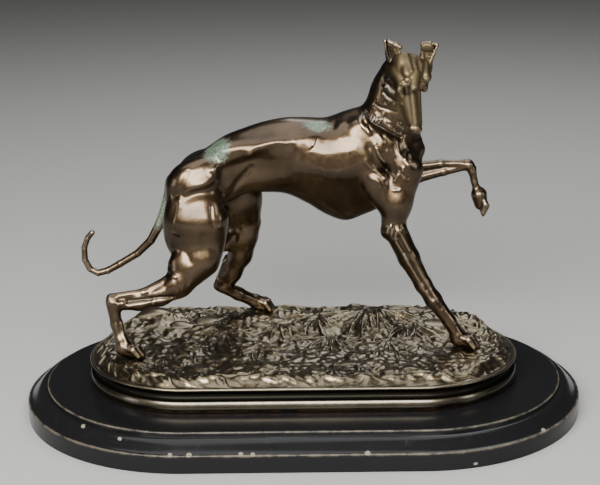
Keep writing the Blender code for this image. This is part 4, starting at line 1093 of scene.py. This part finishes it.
def plinth_piece():
    top_edge = BASE_RADIUS + PLINTH_LEDGE
    foot = top_edge + PLINTH_FLARE
    band = PLINTH_BAND
    arris = ARRIS_RADIUS
    fillet_low = PLINTH_TOP - PLINTH_FILLET
    step = PLINTH_FLARE / 7
    profile = [(0.0001, PLINTH_TOP), (BASE_RADIUS * 0.5, PLINTH_TOP), (BASE_RADIUS, PLINTH_TOP)]
    profile += [(BASE_RADIUS + LEDGE_CUT_UP * (index + 1) / 13, PLINTH_TOP) for index in range(12)]
    profile += arc((top_edge - arris, PLINTH_TOP - arris), arris, 90, 0, 4)
    profile.append((top_edge, fillet_low))
    for index in range(21):
        share = index / 20
        swell = 0.5 - 0.5 * math.cos(math.pi * share)
        bow = 0.16 * math.sin(math.pi * share)
        drop = (fillet_low - band) * (0.35 * share + 0.65 * swell - bow)
        profile.append((top_edge + step + (foot - top_edge - 2 * step) * share, fillet_low - drop))
    profile += arc((foot - arris, band - arris), arris, 90, 0, 4)
    profile += [(foot, band * share) for share in (0.75, 0.5, 0.25)]
    profile += [(foot, 0.0), (foot * 0.5, 0.0), (0.0001, 0.0)]
    plinth = turned_and_drawn_out("polished_plinth", profile, 290, 90)
    plinth.data.shade_smooth()
    make_active(plinth)
    bpy.ops.object.shade_smooth_by_angle(angle=math.radians(38))
    places = vertex_places(plinth.data)
    away = to_run(places[:, 0], places[:, 1])
    worn = np.exp(-(np.hypot(away - top_edge, places[:, 2] - PLINTH_TOP) / 0.0013) ** 2)
    worn = np.maximum(worn, np.exp(-(np.hypot(away - foot, places[:, 2] - band) / 0.0016) ** 2))
    # Painted sheen: the whole ogee is raised to at least 0.40 of worn, which greys its polish partly as a
    # bloom and partly as a painted reflection
    ogee = (away > top_edge + 0.001) & (places[:, 2] > band - 0.0005)
    keep_attribute(plinth.data, "worn", np.where(ogee, np.maximum(worn, 0.40), worn))
    return plinth


plinth = plinth_piece()

# %% [markdown]
# Shaders are sums and products of patterns, so they read best as plain arithmetic. A small class
# wraps a socket and builds the maths nodes behind the operators. A second one holds a material,
# and its method node makes any other node, sets it up and gives its output back.

# %% Write shader maths as arithmetic
class Wire:
    """A socket that can be added, subtracted and multiplied like a number."""

    def __init__(self, tree, socket):
        self.tree = tree
        self.socket = socket

    def maths(self, operation, other, swapped=False):
        node = self.tree.nodes.new("ShaderNodeMath")
        node.operation = operation
        mine, theirs = (1, 0) if swapped else (0, 1)
        self.tree.links.new(self.socket, node.inputs[mine])
        if isinstance(other, Wire):
            self.tree.links.new(other.socket, node.inputs[theirs])
        else:
            node.inputs[theirs].default_value = other
        return Wire(self.tree, node.outputs[0])

    def __add__(self, other):
        return self.maths("ADD", other)

    def __radd__(self, other):
        return self.maths("ADD", other)

    def __sub__(self, other):
        return self.maths("SUBTRACT", other)

    def __rsub__(self, other):
        return self.maths("SUBTRACT", other, swapped=True)

    def __mul__(self, other):
        return self.maths("MULTIPLY", other)

    def __rmul__(self, other):
        return self.maths("MULTIPLY", other)

    def smooth(self, low, high):
        """0 below low, 1 above high and a smooth step between."""
        node = self.tree.nodes.new("ShaderNodeMapRange")
        node.interpolation_type = "SMOOTHSTEP"
        self.tree.links.new(self.socket, node.inputs["Value"])
        node.inputs["From Min"].default_value = low
        node.inputs["From Max"].default_value = high
        return Wire(self.tree, node.outputs["Result"])


class Finish:
    """A material whose nodes are made by name."""

    def __init__(self, name):
        self.material = bpy.data.materials.new(name)
        self.material.use_nodes = True
        self.tree = self.material.node_tree
        self.shader = self.tree.nodes["Principled BSDF"]

    def node(self, kind, output=0, settings=None, **inputs):
        node = self.tree.nodes.new("ShaderNode" + kind)
        for key, value in (settings or {}).items():
            setattr(node, key, value)
        for key, value in inputs.items():
            self.plug(node.inputs[key.replace("_", " ")], value)
        return Wire(self.tree, node.outputs[output])

    def plug(self, socket, value):
        if isinstance(value, Wire):
            self.tree.links.new(value.socket, socket)
        else:
            socket.default_value = value

    def place(self):
        return self.node("TexCoord", "Object")

    def noise(self, place, scale, detail=3.0, roughness=0.55):
        return self.node("TexNoise", "Fac", Vector=place, Scale=scale, Detail=detail,
                         Roughness=roughness)

    def mix(self, share, first, second):
        """Blend two colours; a wire or a colour each."""
        node = self.tree.nodes.new("ShaderNodeMix")
        node.data_type = "RGBA"
        self.plug(node.inputs[0], share)
        for socket, value in ((node.inputs[6], first), (node.inputs[7], second)):
            self.plug(socket, value if isinstance(value, Wire) else (*value, 1.0))
        return Wire(self.tree, node.outputs[2])

    def attribute(self, name):
        return self.node("Attribute", "Fac", settings={"attribute_name": name})

    def patch(self, place, centre, radii):
        """0 at the middle of an ellipsoid, 1 at its skin, and growing outside."""
        shifted = self.node("VectorMath", settings={"operation": "SUBTRACT"})
        self.tree.links.new(place.socket, shifted.socket.node.inputs[0])
        shifted.socket.node.inputs[1].default_value = centre
        scaled = self.node("VectorMath", settings={"operation": "DIVIDE"})
        self.tree.links.new(shifted.socket, scaled.socket.node.inputs[0])
        scaled.socket.node.inputs[1].default_value = radii
        length = self.node("VectorMath", "Value", settings={"operation": "LENGTH"})
        self.tree.links.new(scaled.socket, length.socket.node.inputs[0])
        return length

    def finish(self, **values):
        for key, value in values.items():
            self.plug(self.shader.inputs[key.replace("_", " ")],
                      (*value, 1.0) if isinstance(value, tuple) else value)
        return self.material


# %% [markdown]
# The bronze has a brown chemical patina under wax. Raised places are rubbed to a warmer, brighter
# metal, hollows keep dark wax and dust, and two patches on the back and the tail's root have gone
# green. So colour and roughness follow how proud each point stands, broken up by noise.

# %% Bronze of the whippet
PATINA_DARK = (0.046, 0.030, 0.017)
PATINA_LIGHT = (0.086, 0.058, 0.033)
RUBBED_METAL = (0.30, 0.23, 0.15)
HOLLOW_WAX = (0.020, 0.015, 0.010)
HEAD_OLIVE = (0.112, 0.085, 0.045)
PAINTED_SHADE_BLACK = (0.014, 0.011, 0.007)
VERDIGRIS_DARK = (0.040, 0.066, 0.046)
VERDIGRIS_LIGHT = (0.125, 0.175, 0.120)
# Where the patina is thin from handling: middle and half sizes
RUBBED_HEAD = ((0.078, -0.013, 0.232), (0.021, 0.040, 0.034))
# Painted shade: near-black colour under the brow, in the hollow of one ear and down the side of the throat
PAINTED_SHADE_PATCHES = (
    ((0.0708, -0.0165, 0.2280), (0.0070, 0.0060, 0.0036)),
    ((0.0604, 0.0030, 0.2480), (0.0036, 0.0080, 0.0075)),
    ((0.0610, -0.0025, 0.2260), (0.0080, 0.0090, 0.0140)),
)
# Green: on the ridge of the back, over the loin and at the tail's root
GREEN_PATCHES = (
    ((0.012, 0.005, 0.2005), (0.0105, 0.009, 0.0050)),
    ((-0.058, 0.004, 0.1860), (0.0120, 0.012, 0.0125)),
    ((-0.098, 0.013, 0.1400), (0.0110, 0.012, 0.0190)),
)


def whippet_bronze():
    finish = Finish("brown bronze")
    place = finish.place()
    proud = finish.attribute("proud")
    cloud = finish.noise(place, 28.0, 4.0)
    grain = finish.noise(place, 320.0, 4.0, 0.6)
    warm = cloud.smooth(0.38, 0.66)
    brown = finish.mix(warm, PATINA_DARK, PATINA_LIGHT)
    worn = (proud + 0.35 * grain).smooth(0.35, 1.0)
    brown = finish.mix(worn * 0.6, brown, RUBBED_METAL)
    hollow = (0.0 - proud).smooth(0.10, 0.75)
    brown = finish.mix(hollow * 0.8, brown, HOLLOW_WAX)
    head = 1.0 - (finish.patch(place, *RUBBED_HEAD) + (cloud - 0.5) * 0.5).smooth(0.75, 1.15)
    brown = finish.mix(head * 0.75, brown, HEAD_OLIVE)
    # Painted shade: each patch darkens the bronze towards black where shadow falls on the head and throat
    for centre, radii in PAINTED_SHADE_PATCHES:
        dark = 1.0 - (finish.patch(place, centre, radii) + (cloud - 0.5) * 0.5).smooth(0.65, 1.15)
        brown = finish.mix(dark * 0.8, brown, PAINTED_SHADE_BLACK)
    green = None
    for centre, radii in GREEN_PATCHES:
        spot = 1.0 - (finish.patch(place, centre, radii) + (grain - 0.5) * 1.2
                      + (cloud - 0.5) * 0.8).smooth(0.55, 1.05)
        green = spot if green is None else green.maths("MAXIMUM", spot)
    mottle = finish.noise(place, 900.0, 2.0)
    swell = finish.noise(place, 110.0, 2.0)
    verdigris = finish.mix(mottle.smooth(0.42, 0.62), VERDIGRIS_DARK, VERDIGRIS_LIGHT)
    colour = finish.mix(green * 0.85, brown, verdigris)
    roughness = 0.24 + 0.14 * grain + 0.14 * hollow + 0.22 * head + 0.25 * green
    bump = finish.node("Bump", Height=swell * 2.5 + 0.5 * grain + 0.3 * mottle, Strength=0.22,
                       Distance=0.0004)
    return finish.finish(Base_Color=colour, Metallic=1.0 - 0.75 * green, Roughness=roughness,
                         Normal=bump, Coat_Weight=0.25 - 0.15 * head, Coat_Roughness=0.12, Coat_IOR=1.6)


# %% [markdown]
# The base has the same bronze, but it was never handled: its crests are worn olive, its hollows hold
# black wax, the cove is painted near black as shade, and along the foot of the band the bare copper
# colour shows. One function makes both finishes, because they differ in their tones alone.

# %% Bronze of the ground and its mouldings
CREST_METAL = (0.27, 0.215, 0.13)
GROUND_HOLLOW = (0.034, 0.030, 0.020)
COVE_PAINTED_SHADE = (0.008, 0.007, 0.005)
# Painted shade: the colour of the cove, as if in shadow
COPPER = (0.30, 0.165, 0.075)
COPPER_HEIGHT = 0.0012
GROUND_TONES = ((0.080, 0.064, 0.036), (0.135, 0.108, 0.062))
MOULDING_TONES = ((0.048, 0.041, 0.028), (0.085, 0.072, 0.048))


def base_bronze(name, dark, light, foot=None):
    """Bronze between two tones; foot is the height below which copper shows through."""
    finish = Finish(name)
    place = finish.place()
    proud = finish.attribute("proud")
    cloud = finish.noise(place, 34.0, 4.0)
    grain = finish.noise(place, 420.0, 4.0, 0.6)
    brown = finish.mix(cloud.smooth(0.36, 0.64), dark, light)
    crest = (proud + 0.3 * grain).smooth(0.20, 1.30)
    brown = finish.mix(crest * 0.6, brown, CREST_METAL)
    hollow = (0.0 - proud).smooth(0.05, 0.85)
    brown = finish.mix(hollow * 0.85, brown, GROUND_HOLLOW)
    # Painted shade: where proud is -1, in the cove, the colour goes near black
    brown = finish.mix((0.0 - proud).smooth(0.85, 1.0), brown, COVE_PAINTED_SHADE)
    swell = finish.noise(place, 120.0, 2.0)
    if foot:
        low = finish.node("SeparateXYZ", "Z", Vector=place) + (swell - 0.5) * 0.006
        brown = finish.mix(1.0 - low.smooth(foot - 0.0004, foot + 0.0006), brown, COPPER)
    roughness = 0.25 + 0.14 * grain + 0.20 * hollow
    bump = finish.node("Bump", Height=grain + 2.0 * swell, Strength=0.16, Distance=0.0004)
    return finish.finish(Base_Color=brown, Metallic=1.0, Roughness=roughness, Normal=bump,
                         Coat_Weight=0.45 - 0.42 * hollow, Coat_Roughness=0.14, Coat_IOR=1.6)


# %% [markdown]
# Black stone takes a deep polish, and under studio lamps it is nearly a mirror. What breaks it up
# is wear and a painted sheen: grey over the ogee, partly a bloom and partly painted reflection, dull
# edges, and a few pale bruises where it was knocked. The bruises are colour alone, at places of
# their own, because they are too shallow to model.

# %% Black polish of the plinth
POLISHED_BLACK = (0.006, 0.006, 0.0065)
# Grey of real wear on the arrises and of a painted sheen over the ogee
GREY_WEAR_AND_SHEEN = (0.13, 0.110, 0.080)
BRUISE = (0.20, 0.175, 0.135)
# Chips along the lower arris of the plinth's front
CHIP_SIZE = (0.0019, 0.0030, 0.0011)
CHIPS = (
    (-0.0403, -0.1150, 0.0126), (-0.0326, -0.1152, 0.0124), (-0.0858, -0.1152, 0.0127),
    (-0.0736, -0.1152, 0.0126), (0.1583, -0.0818, 0.0125), (0.1107, -0.1130, 0.0029),
    (-0.1191, -0.1010, 0.0180), (-0.1456, -0.0835, 0.0195), (0.0410, -0.1150, 0.0126),
)


def plinth_polish():
    finish = Finish("black polish")
    place = finish.place()
    cloud = finish.noise(place, 22.0, 5.0)
    grain = finish.noise(place, 700.0, 3.0)
    scuff = finish.noise(place, 150.0, 5.0, 0.7)
    # The worn attribute holds real wear on the arrises and a painted sheen over the ogee
    worn = (finish.attribute("worn") * 1.6 * scuff).smooth(0.35, 1.0)
    colour = finish.mix(worn * 0.7, POLISHED_BLACK, GREY_WEAR_AND_SHEEN)
    chipped = None
    for spot in CHIPS:
        near = 1.0 - (finish.patch(place, spot, CHIP_SIZE) + (scuff - 0.5) * 1.6).smooth(0.75, 1.0)
        chipped = near if chipped is None else chipped.maths("MAXIMUM", near)
    colour = finish.mix(chipped * 0.85, colour, BRUISE)
    roughness = 0.12 + 0.12 * cloud + 0.25 * worn + 0.4 * chipped
    bump = finish.node("Bump", Height=grain, Strength=0.03, Distance=0.0003)
    return finish.finish(Base_Color=colour, Metallic=0.0, Roughness=roughness, Normal=bump,
                         Specular_IOR_Level=0.25)


# %% Give each piece its finish
settle(whippet, whippet_bronze(), "bronze_whippet")
settle(ground, base_bronze("ground bronze", *GROUND_TONES), "bronze_whippet")
settle(mouldings, base_bronze("moulding bronze", *MOULDING_TONES, BASE_BOTTOM + COPPER_HEIGHT),
       "bronze_whippet")
settle(plinth, plinth_polish(), "black_plinth")

# %% [markdown]
# A bronze shows its modelling only by what it reflects. So the room stays dim, and a few broad
# lamps stand where their mirror images draw the ribs, the thigh and the line of the back: one
# high in front, one low to the left, one to the right, one over the back and a weak one behind.

# %% Light and floor
MIDDLE = Vector((0.0, 0.0, 0.13))
WARM_WHITE = (1.0, 0.98, 0.95)
COOL_WHITE = (0.97, 0.98, 1.0)


def add_lamp(name, place, size, power, colour):
    """A rectangular lamp that shines at the middle of the object."""
    lamp = bpy.data.objects.new(name, bpy.data.lights.new(name, "AREA"))
    lamp.data.shape = "RECTANGLE"
    lamp.data.size, lamp.data.size_y = size
    lamp.data.energy = power
    lamp.data.color = colour
    lamp.location = place
    lamp.rotation_euler = (MIDDLE - Vector(place)).to_track_quat("-Z", "Y").to_euler()
    bpy.context.scene.collection.objects.link(lamp)


def add_room(strength, colour):
    world = bpy.context.scene.world or bpy.data.worlds.new("room")
    bpy.context.scene.world = world
    world.use_nodes = True
    world.node_tree.nodes["Background"].inputs["Color"].default_value = (*colour, 1.0)
    world.node_tree.nodes["Background"].inputs["Strength"].default_value = strength


add_lamp("front", (-0.20, -1.25, 0.85), (1.50, 0.50), 74.0, WARM_WHITE)
add_lamp("left", (-1.25, -0.55, 0.30), (0.30, 0.45), 2.5, WARM_WHITE)
add_lamp("right", (1.20, -0.70, 0.60), (0.30, 0.55), 4.0, WARM_WHITE)
add_lamp("back", (0.25, 1.00, 1.20), (0.80, 0.40), 5.0, COOL_WHITE)
add_lamp("over", (-0.05, 0.05, 1.35), (1.60, 1.00), 15.0, COOL_WHITE)
add_room(0.06, (0.80, 0.82, 0.86))
bpy.ops.mesh.primitive_plane_add(size=8.0)
floor = bpy.context.object
floor.name = "floor"
floor.data.materials.append(Finish("pale floor").finish(Base_Color=(0.30, 0.30, 0.292), Roughness=0.9))
